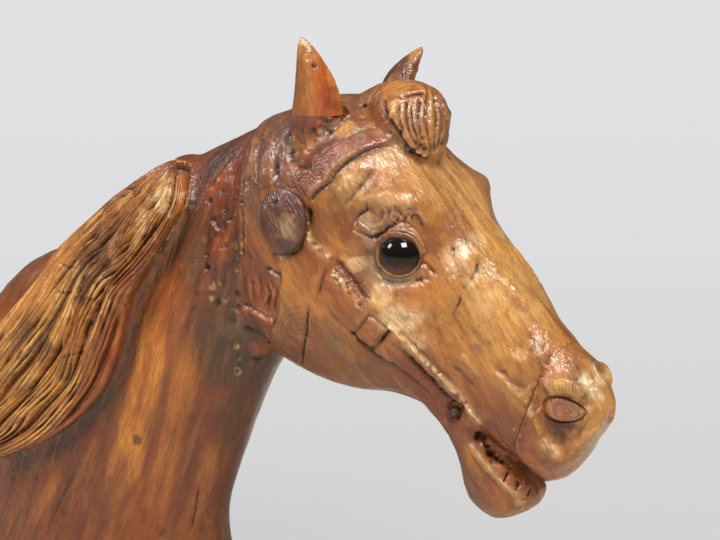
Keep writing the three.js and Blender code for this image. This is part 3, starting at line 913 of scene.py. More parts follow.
def shape_head(work):
    """The broad forms, before the cuts."""
    for at, radii, rise in (
        ((226,-47,331), (10,12,26), 2.2),     # headstall
        ((249,-48,343), (5,10,14), -4.0),     # hollow behind the ear's root
        ((291,-49,330), (14,12,10), 3.0),     # temple
        ((284,-56,300), (9,10,12), -3.0),     # hollow behind the brow
        ((327,-49,316), (17,10,7), 3.2),      # brow
        ((312,-54,300), (11,8,6), 1.4),       # lobe over the back of the eye
        ((336,-50,252), (22,12,9), 2.6),      # cheekbone
        ((356,-38,280), (8,10,18), -2.2),     # hollow in front of the eye
        ((369,-28,279), (8,10,14), 2.2),
        ((390,-21,263), (18,10,22), 1.6),     # side of the nose
        ((398,-27,229), (16,10,10), -1.8),
        ((296,-57,250), (12,10,26), 1.6),     # cheek
        ((257,-54,224), (12,10,28), 1.8),
        ((319,-45,203), (20,8,8), -2.2),
        ((376,-32,201), (14,8,14), -1.8),
        ((389,-29,186), (10,8,10), 1.6),
        ((378,-23,142), (9,8,10), 1.8),
        ((225,-53,246), (9,8,12), -2.0),
        ((200,-25,199), (9,8,9), 2.6),
    ):
        work.swell(at, radii, rise)
    for side in BOTH:
        set_eye(work, side)
    work.settle()


def glare_patch(work, at, radii, strength):
    """Painted highlight where the varnish catches the light: a paler, streaky patch, with a shinier finish
    as well.
    """
    work.stain(at, radii, "#EED8BC", strength, ragged=0.35)
    work.swell(at, radii, 1, layer="gloss")


def carve_head(work):
    cut, stain, chips, hatch = work.cut, work.stain, work.chips, work.hatch
    work.tones(HEAD_TONES)
    shape_head(work)
    # the headstall round the head behind the ear, and the brow band in front of it
    work.band([(221,-39,345), (226,-47,331), (230,-52,318)], 15, 1.6, ("#6A3A2C", 0.75))
    cut([(235,-41,348), (236,-47,337), (235,-50,328), (235,-53,318)], 4, 1.8, 0.45)
    cut([(208,-37,342), (216,-45,331), (223,-51,317)], 3, 1.4, 0.5)
    work.band([(262,-55,318), (271,-53,328), (280,-49,339), (291,-44,347), (301,-33,353),
        (313,-28,359)], 15, 0.8, ("#7A443A", 0.85))
    work.ledge([(315,-28,355), (300,-41,347), (289,-49,336), (282,-52,326), (271,-55,318),
        (265,-61,308)], 1.1, 9)
    cut([(264,-61,308), (271,-55,318), (282,-52,326), (289,-49,335), (301,-41,346),
        (316,-28,354)], 1.8, 0.8, 0.3)
    cut([(263,-60,311), (269,-54,320), (280,-52,329), (287,-49,338), (298,-40,348)], 1.8, -0.8,
        stain=("#C8A090", 0.6))
    hatch([(259,-60,314), (262,-54,322), (269,-53,329), (277,-51,336), (286,-48,343)], 26, 1.9, 0.55, 0.5)
    hatch([(225,-52,311), (247,-62,299), (262,-62,287)], 8, 1.8, 0.3, sides=NEAR)
    cut([(257,-53,330), (265,-50,340), (274,-47,348), (282,-43,353)], 3, 1.2, 0.35)
    stain((281,-47,346), (7,8,6), "#94403A", 0.55, NEAR)
    stain((282,-37,360), (8,8,6), GOLD, 0.8, NEAR)
    stain((297,-25,359), (10,8,5), OCHRE, 0.6, NEAR)
    # a deep pocket beside the rosette, darkened with painted shade
    cut([(265,-59,309), (267,-59,302), (267,-57,295)], 5.5, 4, 0.9, sides=NEAR)
    cut([(264,-62,289), (257,-61,280), (243,-57,274), (232,-56,276)], 5, 2, 0.7, (BROWN, 0.7))
    # the root under the ear
    cut([(234,-36,356), (241,-44,346), (250,-51,335)], 5, 3.4, 0.7, sides=NEAR)
    cut([(250,-51,333), (259,-52,333), (266,-51,336)], 4, 2.6, 0.6, sides=NEAR)
    stain((254,-46,348), (7,8,12), OCHRE, 0.6, NEAR)
    # painted shade in the hollow behind the root
    stain((245,-46,346), (3,8,14), "#3A2018", 0.8, NEAR)
    cut([(258,-50,361), (253,-47,351), (257,-49,343)], 3.6, 1.6, 0.5, ("#5A2C18", 0.7), sides=NEAR)
    stain((268,-46,360), (2.6, 4, 6), "#CF5E1E", 0.9, NEAR)
    cut([(265,-48,360), (265,-46,355), (269,-45,352)], 3, 1.4, 0.6, (BROWN, 0.8), sides=NEAR)
    cut([(271,-44,353), (276,-40,358), (279,-35,363)], 2.6, 1.2, 0.5, sides=NEAR)
    chips([(269,-44,358), (274,-41,362), (278,-33,366)], 44, 2.2, 2, 0.7, (("#B9B4AA", 0.7),
        (GREY, 0.8), (BROWN, 0.8)), NEAR)
    # the temple's two ridges and the hollow between them
    cut([(282,-54,313), (291,-51,323), (299,-47,333), (307,-42,341)], 11, -2.4, stain=(SAND, 0.6))
    cut([(290,-54,307), (299,-50,319), (306,-47,329), (313,-41,338)], 5, 1.5, 0.1, ("#8E7048", 0.5))
    cut([(295,-54,307), (303,-50,317), (311,-46,327), (317,-41,334)], 7, -1.4)
    # brow: an arched ridge, a lobe over the back of the eye, and small folds in front of it
    cut([(296,-53,307), (308,-51,315), (321,-49,319), (334,-46,321), (341,-43,316),
        (346,-41,308)], 9, -2.6, stain=(SAND, 0.35))
    cut([(299,-56,290), (299,-55,298), (303,-53,305), (311,-52,310), (319,-50,313)], 3, 1.8, 0.4,
        (RED_BROWN, 0.6))
    cut([(303,-55,295), (310,-54,300), (319,-53,305), (324,-51,310)], 5, -1.5, stain=("#C79A6A", 0.5))
    cut([(299,-56,290), (308,-56,290), (317,-54,294), (325,-53,300), (329,-51,305)], 3.4, 1.6,
        0.4, ("#7A2E1E", 0.85))
    for route in (
        [(302,-55,299), (306,-53,304), (313,-53,308)],
        [(308,-54,296), (314,-54,301), (320,-53,305), (323,-51,310)],
        [(315,-54,296), (322,-53,301), (325,-52,305)],
        [(327,-52,302), (326,-52,307), (328,-50,312)],
        [(331,-51,303), (333,-50,308), (336,-48,312)],
        [(336,-50,302), (337,-48,307), (340,-46,311)],
        [(340,-47,305), (342,-46,309), (345,-44,307), (347,-42,301)],
        [(325,-50,314), (332,-48,316), (339,-46,315)],
    ):
        cut(route, 2, 1.4, 0.45, ("#8A3A1E", 0.7), 0.2)
        cut(np.add(route, (1.8, 0, 1.2)), 2, -0.9, stain=("#DDB98C", 0.5), taper=0.2)
    cut([(310,-50,315), (310,-52,310)], 2, 1.6, 0.8, sides=NEAR)
    stain((304,-53,305), (3, 3, 2.5), GREY, 0.8, NEAR)
    stain((295,-56,295), (6,8,6), RED_BROWN, 0.4, NEAR)
    stain((310,-17,384), (7,8,8), GOLD, 0.5)
    stain((308,-26,373), (5,8,8), RED_BROWN, 0.6)
    # round the eye
    cut([(315,-55,280), (319,-55,290), (325,-53,296), (335,-51,300), (342,-47,297),
        (347,-44,290), (350,-43,280)], 5, -1.2, stain=("#A8705A", 0.5))
    cut([(308,-56,289), (317,-54,293), (325,-53,300), (334,-51,304), (340,-48,302)], 3.4, 2, 0.6)
    cut([(317,-55,278), (321,-55,270), (329,-53,266), (338,-50,267), (345,-48,271)], 2.6, 1.2,
        0.3, (GREY, 0.6))
    cut([(319,-55,264), (330,-52,260), (340,-49,262)], 6, -1.4, stain=(ORANGE, 0.5))
    cut([(340,-50,264), (347,-46,269), (354,-41,269)], 3, 1.2, 0.35)
    cut([(348,-44,280), (352,-42,275), (355,-40,271)], 3, 1.6, 0.5, (RED_BROWN, 0.6))
    chips([(342,-49,266), (349,-45,269)], 8, 0.8, 1.8, 0.8, ((GREY, 0.9), (CREAM, 0.8)), NEAR)
    work.swell((296,-57,278), (12,10,3), 0.5, NEAR, layer="wear")
    for side in BOTH:
        paint_eye(work, side)
    # cheek: its back edge, the line down its middle that opens into a drying crack, and a knot
    work.ledge([(204,-13,192), (236,-52,226), (243,-56,245), (246,-57,273)], 2.4, 12)
    cut([(280,-57,276), (275,-58,263), (269,-57,247)], 2.8, -1.3, stain=("#C08838", 0.9))
    cut([(283,-57,274), (278,-58,261), (272,-57,246)], 2, 1.3, 0.5)
    cut([(269,-58,249), (265,-56,234), (262,-54,221), (253,-46,205), (240,-27,189)], 2, 2.2, 1.3,
        (BROWN, 0.6), 0.25, 0.1, NEAR)
    cut([(250,-57,270), (249,-57,251), (242,-53,229), (225,-38,206)], 7, -0.6, stain=("#A87A3C", 0.6))
    work.rings((262,-48,206), (32,16,30), 3.8, "#6E4420", 0.95, NEAR)
    work.rings((286,-53,217), (7,7,7), 2.6, "#5E4E3A", 0.9, NEAR)
    stain((286,-53,217), (3.4, 4, 3.4), "#6E6A52", 0.95, NEAR)
    stain((282,-31,185), (26,14,10), "#9A5E40", 0.5)
    carve_strap(work)
    # folds of the lower jaw
    cut([(304,-28,185), (333,-30,184), (348,-27,171), (356,-25,160), (367,-25,152),
        (373,-23,141)], 4, 1.8, 0.35)
    cut([(333,-32,185), (354,-27,167), (361,-26,158), (369,-24,145)], 4, -1.4)
    # nose: the ridge on each side, the V at its top, cracks and veins
    cut([(368,-24,288), (378,-18,280), (388,-17,270), (398,-16,259), (406,-14,252),
        (418,-11,240)], 9, -2, stain=(SAND, 0.4))
    cut([(361,-27,295), (361,-32,287), (366,-32,275), (371,-31,265)], 5, 2.2, 0.25)
    cut([(358,-33,291), (358,-37,280), (362,-36,268), (368,-33,261)], 6, -1.6, stain=(SAND, 0.5))
    cut([(374,-22,282), (375,-26,273), (372,-30,265)], 4, 1.8, 0.35)
    stain((371,-31,265), (2.4, 2.4, 2.4), NEAR_BLACK, 0.8, NEAR)
    stain((366,-22,293), (4,4,4), GREY, 0.7, NEAR)
    cut([(370,-33,260), (367,-34,251), (364,-35,244)], 1.8, 1.3, 0.7, sides=NEAR)
    cut([(396,3,266), (412,4,248), (418,8,241)], 1.4, 0.9, 0.6, sides=NEAR)
    work.swell((419,-22,227), (10,8,9), 1.6)
    cut([(386,-30,216), (396,-29,208), (404,-29,202), (411,-29,198), (417,-28,204),
        (423,-26,209)], 3.6, -1.5, stain=(SAND, 0.4))
    cut([(391,-29,218), (400,-29,210), (411,-28,205), (418,-27,211)], 8, 1.6, 0.15)
    cut([(365,-35,221), (374,-32,214), (383,-31,205)], 6, -1.4, stain=(SAND, 0.3))
    cut([(361,-36,214), (371,-33,206), (380,-31,195)], 5, 1.4, 0.15)
    stain((380,-30,225), (4,4,4), "#70505A", 0.6, NEAR)
    # painted highlight on the round bulge of the nose
    stain((419,-22,227), (2.5, 3, 3), CREAM, 0.6, NEAR)
    stain((402,-26,227), (1.2, 1.4, 1.4), "#E8E2D4", 0.8, NEAR)
    stain((427,-22,218), (4,4,8), "#5E3A34", 0.7)
    # nail hole and plug by the brow band
    stain((292,-35,357), (4.5, 4.5, 4), "#7F7C66", 0.9, NEAR)
    cut([(284,-18,373), (284,-19,371)], 3.4, 3, 1, sides=NEAR)
    # painted highlights on the cheek, temple, brow and nose
    for at, radii, strength in (
        ((334,-50,242), (17,11,11), 0.75), ((323,-54,257), (9,9,8), 0.6), ((343,-45,227), (9,9,6), 0.5),
        ((302,-57,274), (6,8,5), 0.5), ((364,-30,284), (9,9,12), 0.6), ((373,-28,271), (6,8,10), 0.45),
        ((382,-27,256), (8,8,9), 0.3), ((409,-26,224), (6,8,4), 0.4), ((296,-48,328), (9,8,6), 0.5),
        ((328,-48,318), (13,8,4), 0.3), ((312,-53,304), (6,8,3), 0.4), ((370,-15,292), (8,9,7), 0.3),
    ):
        glare_patch(work, at, radii, strength)
    hatch([(318,-55,261), (333,-51,246), (348,-43,226)], 30, 2.6, 0.14, sides=NEAR)
    chips([(326,-38,332), (342,-16,325), (359,-7,305), (352,-31,308)], 46, 9, 0.9, 0.5,
        ((BROWN, 0.7), (GREY, 0.5)), NEAR)
    chips([(347,-46,255), (375,-31,236), (406,-22,239)], 30, 9, 0.8, 0.4, ((BROWN, 0.6),), NEAR)
    carve_forelock(work)
    carve_mouth(work)
    carve_throatlatch(work)
    # chips and dirt along the glue joints
    cut([(204,-45,322), (205,-50,303), (207,-52,279), (203,-46,243), (200,-42,228)], 2.2, 1.2,
        0.9, taper=0.05)
    chips([(207,-46,320), (206,-50,303), (207,-52,279), (203,-46,243), (201,-44,233)], 26, 1.2,
        1.8, 0.9, CHIP_COLOURS)
    chips([(424,-22,221), (420,-27,207), (415,-29,194), (410,-30,180), (402,-23,161)], 12, 0.8,
        1.3, 0.7, CHIP_COLOURS)
    cut([(428,-14,228), (425,-22,220), (421,-27,207), (416,-29,193), (411,-30,180),
        (403,-24,162)], 2.2, 0.8, 0.35, taper=0.1)


def round_eye(work, side):
    """Vertices round an eye: which, their offset and distance from its centre, how far out of the opening
    in degrees, the angle round it, and how much they belong to the upper lid."""
    centre = EYE_CENTRE * (1, side, 1)
    look = EYE_LOOK * (1, side, 1)
    ahead = unit(np.cross((0.0, 0.0, 1.0), look)) * side * -1
    above = unit(np.cross(look, ahead)) * side * -1
    above = above if above[2] > 0 else -above
    ahead = ahead if ahead[0] > 0 else -ahead
    away = work.points - centre
    index = np.nonzero((np.linalg.norm(away, axis=1) < 34) & (away @ look > -2))[0]
    away = away[index]
    reach = np.linalg.norm(away, axis=1)
    off = np.degrees(np.arccos(np.clip(away @ look / reach, -1, 1)))
    round_by = np.arctan2(away @ above, away @ ahead)
    out = off - (65 + 7 * np.cos(2 * round_by) - 3 * np.sin(round_by))
    return index, away, reach, out, round_by, ease(np.sin(round_by), -0.1, 0.3)


def set_eye(work, side):
    """Beds the glass in its socket and raises the lids round and over its edge."""
    index, away, reach, out, round_by, upper = round_eye(work, side)
    fade = 1 - ease((out - 2 - 4 * upper) / (7 + 6 * upper), 0, 1)
    lid = 1.4 * ease(out, -3.5, 0.5) * fade * (1 + 0.8 * np.sin(round_by))
    fold = (0.9 + 0.6 * upper) * np.exp(-((out - 9.5 - 9 * upper) / (3 + 1.5 * upper)) ** 2)
    soft = ease(out, -3.5, 0.5)
    edge = EYE_RADIUS + 0.4
    sloping = edge + np.maximum(reach - edge, 0) * ease(out, 1, 24)
    wanted = (EYE_RADIUS - 1.2) * (1 - soft) + sloping * soft
    wanted = wanted + lid - fold
    kept = 1 - ease(out, 18, 32)
    work.move[index] += (away / reach[:, None]) * ((wanted - reach) * kept)[:, None]


def paint_eye(work, side):
    """The dark outline of the glass, the thin amber rim below it, and the wrinkled upper lid."""
    index, _, _, out, round_by, upper = round_eye(work, side)
    corner = ease(np.sin(-round_by - 0.3), 0.1, 0.7)
    folds = (0.5 + 0.5 * np.cos(2 * math.pi * (out / 4.6 + 0.3 * noise(work.points[index], 3.0, 4))))
    folds = folds * ease(out, 2, 5) * (1 - ease(out, 13, 17)) * upper
    work.rise[index] -= 0.9 * folds
    work.grime[index] += 0.5 * folds
    for middle, breadth, share, code, strength in (
        (18.0, 6.0, 1 - upper, "#A8642A", 0.6),
        (4.0, 7.0, upper, "#7C5A48", 0.9),
        (9.0, 3.0, upper, "#C4A894", 0.7),
        (4.0, 6.0, 1 - upper, "#4E2C18", 1.0),
        (1.5, 2.4, corner, "#F4CE84", 1.0),
        (9.0, 2.8, 1 - upper, "#857B70", 0.9),
    ):
        work.tint(index, np.exp(-((out - middle) / breadth) ** 2) * share, code, strength)
    brow_line = 0.45 * np.exp(-((out - 18) / 4.5) ** 2) * upper
    work.grime[index] += 0.9 * np.exp(-((out + 2.5) / 2.2) ** 2) + brow_line
    work.grime[index] += 0.7 * np.exp(-((out - 6) / 2.0) ** 2) * (1 - upper)


def carve_forelock(work):
    # its lower edge stands off the forehead, and the dark line under it is painted shadow
    work.ledge([(335,-14,340), (329,-19,344), (324,-26,351), (317,-29,361), (309,-27,370),
        (302,-22,379)], 3.6, 12)
    work.cut([(302,-22,379), (309,-27,370), (317,-29,360), (323,-26,351), (328,-19,343),
        (334,-15,340)], 3, 2.6, 0.8, taper=0.1)
    work.settle()
    work.cut([(314,-22,380), (320,-18,382), (327,-11,383)], 3, 2.8, 0.9, taper=0.1, sides=NEAR)
    work.stain((329,-25,361), (16,12,18), "#7A4A3A", 0.6)
    for route in (
        [(316,-23,378), (318,-28,369), (322,-28,359), (327,-23,348)],
        [(319,-20,380), (322,-26,369), (326,-27,358), (330,-21,347)],
        [(323,-19,380), (326,-25,369), (329,-25,357), (332,-19,345)],
        [(326,-15,381), (330,-23,370), (332,-23,356), (334,-18,344)],
        [(326,1,385), (335,-9,376), (339,-15,360), (336,-15,343)],
        [(326,5,383), (336,-1,373), (340,-9,359), (338,-14,345)],
        [(329,8,378), (337,4,368), (340,-3,358), (339,-11,346)],
    ):
        work.cut(route, 3.4, 2.4, 0.6, taper=0.15)
        work.cut(np.add(route, (1.5, 0, 1)), 2, -0.8, stain=("#C79A78", 0.55), taper=0.2)
    work.cut([(315,-22,379), (314,-26,373), (314,-28,366)], 3.4, -1.6, stain=(CREAM, 0.6))
    work.cut([(319,1,387), (333,-20,368), (334,-16,342)], 1.6, 1.4, 0.9, taper=0.05, sides=NEAR)
    work.cut([(324,-1,386), (335,-17,367), (336,-17,347)], 4, -0.8, stain=(GOLD, 0.7), sides=NEAR)
    for route in (
        [(304,-12,387), (282,37,386), (317,0,388)],
        [(306,-18,383), (312,-13,387), (320,-4,387)],
    ):
        work.cut(route, 2.6, 0.8, 0.25)
    work.chips([(311,-28,357), (320,-27,351), (325,-22,345), (331,-17,341)], 18, 1.3, 2, 1,
        ((GREY, 0.9), ("#A9A397", 0.8), (NEAR_BLACK, 0.9)), NEAR)


def carve_strap(work):
    """The cheek strap from the rosette to the bit: a worn upper edge, a keeper, and a soft lower edge."""
    cut, chips = work.cut, work.chips
    top = [(282,-57,279), (296,-57,269), (308,-57,259), (318,-55,248), (325,-52,238), (340,-47,223),
        (354,-39,207), (369,-32,190), (382,-25,173)]
    low = [(274,-57,248), (288,-57,238), (300,-54,228), (311,-50,217), (324,-46,208), (339,-42,200),
        (350,-37,189), (359,-31,177)]
    strap = work.near([(260,-60,283), (277,-58,267), (294,-57,252), (307,-55,238)], 13.0)
    work.tint(strap.index, strap.taper(0.08) * (1 - ease(np.abs(strap.across), 8, 12.5)), "#83421F", 0.7)
    cut([(285,-57,277), (296,-57,270), (306,-57,260), (316,-56,251)], 7, 2.4, 0.25, ("#6E2618", 0.95), 0.15)
    cut([(283,-58,271), (293,-58,263), (304,-57,254), (312,-55,247)], 3.2, -1.5, stain=("#A8604A", 0.7))
    work.hatch([(286,-57,273), (297,-57,265), (309,-57,253)], 11, 2.3, 0.7, 0.45)
    chips([(287,-58,268), (298,-57,259), (310,-56,248)], 44, 1.6, 1.8, 0.9, (("#E4CDB4", 0.9),
        ("#8E5A6A", 0.7)))
    cut([(331,-49,222), (342,-44,211), (355,-37,195), (366,-29,182)], 9, 0.6, stain=("#6E3020", 0.85))
    cut([(324,-52,231), (336,-47,218), (351,-40,202), (365,-32,185), (375,-22,168)], 2.8, 2.2, 0.5)
    cut([(332,-51,237), (343,-45,224), (357,-38,209), (371,-32,193)], 2.4, 1.2, 0.3)
    # pale crests of the strap: partly worn edges, partly painted highlight
    for crest in ([(266,-62,293), (268,-57,286), (276,-57,281), (285,-57,276)], top[4:]):
        cut(crest, 3, -2, stain=("#E2C6A0", 0.75), taper=0.04, shoulder=0.1)
        chips(crest, 22, 1, 1.5, 0.9, ((BROWN, 0.6), (CREAM, 0.8), (RED_BROWN, 0.7)))
    cut(low, 2.8, 1.9, 0.35)
    for share in np.linspace(0.50, 0.95, 20):
        edge = curve_at(top, np.array([share]))[0]
        foot = curve_at(low, np.array([share * 1.08 - 0.10]))[0]
        cut((edge + 0.22 * (foot - edge), edge + 0.95 * (foot - edge)), 1.3, 0.7, 0.3)
    work.stain((330,-50,227), (5,8,5), "#A85A22", 0.6)
    work.band([(308,-54,234), (320,-51,226)], 19, 1.3, ("#9A4E20", 0.7), 0.08)
    work.rings((316,-53,233), (8,8,8), 2.6, BROWN, 0.6, NEAR)
    cut([(299,-54,226), (307,-54,235), (315,-55,245)], 2.2, 1, 0.2, (BROWN, 0.5), 0.12)
    cut([(311,-50,217), (320,-51,225), (328,-51,235)], 2.6, 1.7, 0.45, (BROWN, 0.6), 0.12)
    cut([(358,-28,171), (364,-33,180), (368,-32,188)], 6, 2.2, 0.8, taper=0.2, sides=NEAR)
    chips([(361,-31,183), (366,-33,189), (367,-28,180), (361,-28,173)], 10, 1.6, 2.4, 1.4,
        ((BROWN, 0.8), (NEAR_BLACK, 0.9)), NEAR)


def carve_mouth(work):
    work.cut([(381,-20,155), (390,-17,146), (399,-14,138), (407,-11,131)], 10, 1.6,
        stain=("#84502A", 0.85), taper=0.2)
    work.cut([(374,-21,167), (377,-20,163), (381,-18,159)], 4, 3.6, 1, taper=0.35)
    work.cut([(376,-23,161), (376,-20,164), (378,-19,165)], 2.6, 2.6, 1, taper=0.2)
    work.cut([(379,-19,161), (383,-18,155), (387,-16,151), (392,-13,147), (397,-11,143)], 2.2,
        1.8, 0.6, taper=0.1, shoulder=0.15)
    work.chips([(382,-19,156), (387,-17,151), (391,-15,146)], 22, 1.5, 2, 1.4, ((NEAR_BLACK, 0.8),
        (BROWN, 0.8), ("#8A5A34", 0.8)))
    for at, code, rise in (((391,-16,144), "#A8602A", 3.0), ((398,-15,138), "#9A5A2C", 3.4),
                           ((406,-12,132), "#86492A", 3.0), ((411,-8,128), "#7A3F22", 1.4)):
        work.swell(at, (4,6,4), rise)
        work.stain(at, (4,6,4), code, 0.8, ragged=0.3)
    for a, b in (((395,-14,142), (394,-19,135)), ((402,-12,136), (402,-16,130)),
                 ((408,-8,132), (408,-12,126))):
        work.cut((a, b), 1.5, 1.6, 0.7, taper=0.15)
    work.cut([(371,-25,160), (380,-23,149), (390,-20,138), (400,-17,130), (406,-14,124)], 2.4,
        -1.7, stain=("#D9B88C", 0.7), taper=0.08, shoulder=0.1)
    work.cut([(368,-25,156), (378,-23,145), (388,-21,135), (398,-19,127)], 3, 1, 0.3)
    work.stain((405,-15,123), (4, 5, 3.4), CREAM, 0.8, NEAR)
    work.chips([(403,-16,125), (406,-14,121), (405,-10,117)], 5, 1.2, 1.6, 1, ((CREAM, 0.9),
        (BROWN, 0.7)), NEAR)


def carve_throatlatch(work):
    """The split and mended wood under the rosette, and the keeper of the strap round the throat."""
    work.stain((226,-54,249), (14,9,18), "#6E3218", 0.9, ragged=0.3)
    work.cut([(227,-55,264), (236,-56,261), (245,-57,260)], 3.4, 2.6, 0.7)
    for route, width, deep in (
        ([(214,-52,255), (214,-51,244), (211,-48,235)], 2.4, 1.6),
        ([(221,-54,259), (222,-53,248), (220,-51,241)], 2.0, 1.2),
        ([(227,-54,253), (229,-54,244), (224,-51,234)], 3.4, 3.0),
        ([(234,-56,256), (235,-55,248)], 2.2, 1.6),
        ([(239,-56,254), (237,-55,244), (233,-53,233)], 3.0, 2.6),
        ([(209,-50,249), (205,-45,238)], 2.0, 1.0),
    ):
        work.cut(route, width, deep, 0.6)
        work.cut(np.add(route, (-2.2, 0, 0)), 1.8, -0.9, stain=("#B4662C", 0.6))
    carve_keeper(work)


def carve_keeper(work):
    """The keeper and the lobe below it, which run over the joint between head and neck."""
    work.ledge([(200,-43,231), (216,-48,230), (226,-50,228), (235,-52,228)], 2.6, 8,
        ("#B2501E", 0.85), 0.05)
    work.cut([(200,-44,232), (217,-49,233), (228,-51,231), (237,-53,230)], 2, 1, stain=("#C98A58", 0.6))
    work.cut([(195,-37,214), (202,-33,210), (210,-28,204)], 3.6, 3, 1.1, taper=0.1)
    work.stain((198,-23,197), (10,8,8), "#A2501F", 0.7)
    work.cut([(190,-24,190), (192,-17,185), (198,-13,189)], 3.4, 2.4, 0.7)


# ---- Muzzle ----
MUZZLE_TONES = (
    ((439,-9,222), 14, OCHRE), ((454,-4,207), 14, GOLD), ((434,-20,217), 10, OCHRE),
    ((441,-25,193), 10, UMBER), ((430,-30,173), 12, UMBER), ((452,-11,176), 14, SAND),
    ((420,-30,165), 12, RED_BROWN), ((440,-14,155), 12, OCHRE), ((456,0,183), 10, SAND),
)


def set_plug(work, centre, end, half_width):
    """The lens of wood let into the top of each nostril, with a dark gap round it."""
    centre = np.asarray(centre)
    along = np.asarray(end) - centre
    half_length = np.linalg.norm(along)
    for side in (RIGHT, LEFT):
        index, _ = work.around(centre, (11,9,11), side)
        away = work.points[index] * (1, side, 1) - centre
        outward = unit((work.normals[index] * (1, side, 1)).mean(0))
        over = np.cross(outward, along / half_length)
        length = away @ along / half_length ** 2
        height = away @ over / (half_width * (1 - 0.25 * length))
        reach = np.hypot(length, height)
        inside = ease(1 - reach, 0.0, 0.10)
        gap = np.exp(-((reach - 1.03) / 0.09) ** 2)
        lift = 3.2 * inside * (1 - 0.6 * np.minimum(reach, 1) ** 2) - 1.8 * gap
        work.move[index] += outward * (1, side, 1) * lift[:, None]
        phase = 3.2 * reach + 0.5 * noise(work.points[index], 5, 2)
        grain_lines = 0.5 + 0.5 * np.cos(2 * math.pi * phase)
        work.tint(index, inside, "#94705E", 0.95)
        work.tint(index, inside * grain_lines ** 2, "#5E3C34", 0.7)
        work.grime[index] += 0.8 * gap


def carve_muzzle(work):
    cut, stain = work.cut, work.stain
    work.tones(MUZZLE_TONES)
    for at, radii, rise in (
        ((450,7,212), (6,8,8), -1.4),
        ((440,-25,194), (15,8,8), -2.6),
        ((439,-26,208), (15,9,6), 2.2),
        ((420,-31,172), (7,8,14), -1.6),
        ((455,-10,187), (6,9,12), 2.0),
        ((426,-30,182), (5,8,12), 1.8),
        ((437,-22,158), (14,8,5), 1.6),
        ((417,-24,155), (10,8,7), 1.4),
    ):
        work.swell(at, radii, rise)
    work.press((443,-25,176), (15,10,10), 7)
    work.press((448,13,213), (7,9,9), 2.4)
    work.settle()
    cut([(442,8,221), (443,11,219)], 3.4, 2.2, 0.9, sides=NEAR)
    # long white streaks down the front of the muzzle: painted reflections of the lamps in the varnish
    cut([(443,-10,219), (451,-11,209), (457,-4,194)], 5.5, 2, 0.1, ("#F0E8DE", 0.95), sides=NEAR)
    cut([(444,4,220), (450,5,213), (455,6,204)], 4, 1.6, 0.1, ("#F0E8DE", 0.95), sides=NEAR)
    cut([(444,-5,219), (452,-6,210), (456,-1,199)], 3, -1.2, stain=(RED_BROWN, 0.4), sides=NEAR)
    cut([(446,-15,214), (448,-16,211)], 3, 3, 1, sides=NEAR)
    # nostril: a pale fibrous rim, a lens-shaped plug under it, a basin below, and a flange sweeping round
    cut([(427,-27,204), (431,-26,208), (436,-25,210), (442,-23,210), (448,-20,207),
        (452,-17,201)], 7, -1.4, taper=0.12)
    cut([(429,-27,205), (434,-26,208), (441,-25,209), (447,-22,207), (451,-18,202)], 5, -0.4,
        stain=("#CFAE7E", 0.95), taper=0.1)
    share = np.linspace(0.04, 0.96, 15)
    rim = [(428,-27,207), (434,-25,210), (440,-24,211), (447,-21,208), (451,-18,204)]
    foot = [(429,-28,200), (435,-28,204), (442,-26,205), (448,-23,203), (452,-19,198)]
    for a, b in zip(curve_at(rim, share), curve_at(foot, share)):
        cut((a, b), 1, 0.7, 0.35, taper=0.2)
    set_plug(work, (441,-25,193), (452,-19,191), 7.6)
    # the basin below the plug darkened: partly the wood's own stain, partly painted shade of the hollow
    stain((443,-26,177), (17,11,11), "#4E2620")
    cut([(426,-29,195), (424,-29,186), (426,-30,178), (431,-29,170), (437,-25,163)], 3.6, -2.6,
        stain=(GOLD, 0.5))
    cut([(429,-29,186), (431,-30,179), (436,-28,173), (441,-24,169)], 3.4, 0.8, 0.2)
    # painted shadow under the plug
    work.swell((443,-27,184), (13,8,4), 0.9, layer="grime")
    # painted highlight along the lower rim of the basin
    cut([(429,-30,176), (432,-29,170), (436,-26,165), (439,-22,162)], 4, -0.8, stain=("#EAD4B4", 0.8))
    # painted highlights on the front of the muzzle
    for at, radii in (((450,-11,211), (4,6,8)), ((452,1,211), (3,6,7))):
        glare_patch(work, at, radii, 0.5)
    cut([(452,-16,203), (455,-10,196), (455,-8,186), (452,-11,177), (448,-17,170),
        (441,-22,163)], 6, -1.7, stain=(GOLD, 0.5))
    cut([(453,-17,194), (453,-16,184), (449,-19,177), (443,-23,171)], 2.6, 1.2, 0.3)
    stain((453,-18,194), (4,5,3), CREAM, 0.85, NEAR)
    stain((418,-25,155), (9,7,7), "#AF5C22", 0.7)
    cut([(395,-8,146), (402,-5,140), (407,1,135), (426,-13,142), (436,-9,147)], 5, -1.4)
    cut([(410,-25,159), (417,-24,155), (427,-23,152)], 4, 1, 0.2)
    work.chips([(428,-20,222), (425,-25,213), (422,-28,204), (420,-29,192), (416,-30,182),
        (411,-29,170)], 10, 0.6, 1.2, 0.6, ((CREAM, 0.8), (BROWN, 0.8), (NEAR_BLACK, 0.7)))
    cut([(429,-21,219), (425,-26,211), (423,-28,201), (419,-29,189), (414,-30,178),
        (406,-24,161)], 2, 0.6, 0.2, taper=0.1)
    stain((419,-29,190), (2.4, 3, 4), CREAM, 0.8, NEAR)


# ---- Neck ----
NECK_TONES = (
    ((172,-26,328), 20, UMBER), ((181,-41,303), 18, RED_BROWN), ((184,-47,269), 20, BROWN),
    ((153,-43,272), 18, MAUVE), ((178,-46,240), 20, UMBER), ((176,-35,194), 26, BROWN),
    ((127,-47,226), 20, OCHRE), ((126,-47,167), 30, OCHRE), ((132,-35,105), 34, UMBER),
    ((91,-54,125), 30, UMBER), ((42,-68,65), 40, UMBER), ((103,-47,64), 34, TAN),
    ((153,-20,112), 30, UMBER), ((-19,-20,232), 30, TAN), ((8,-23,249), 20, UMBER),
)


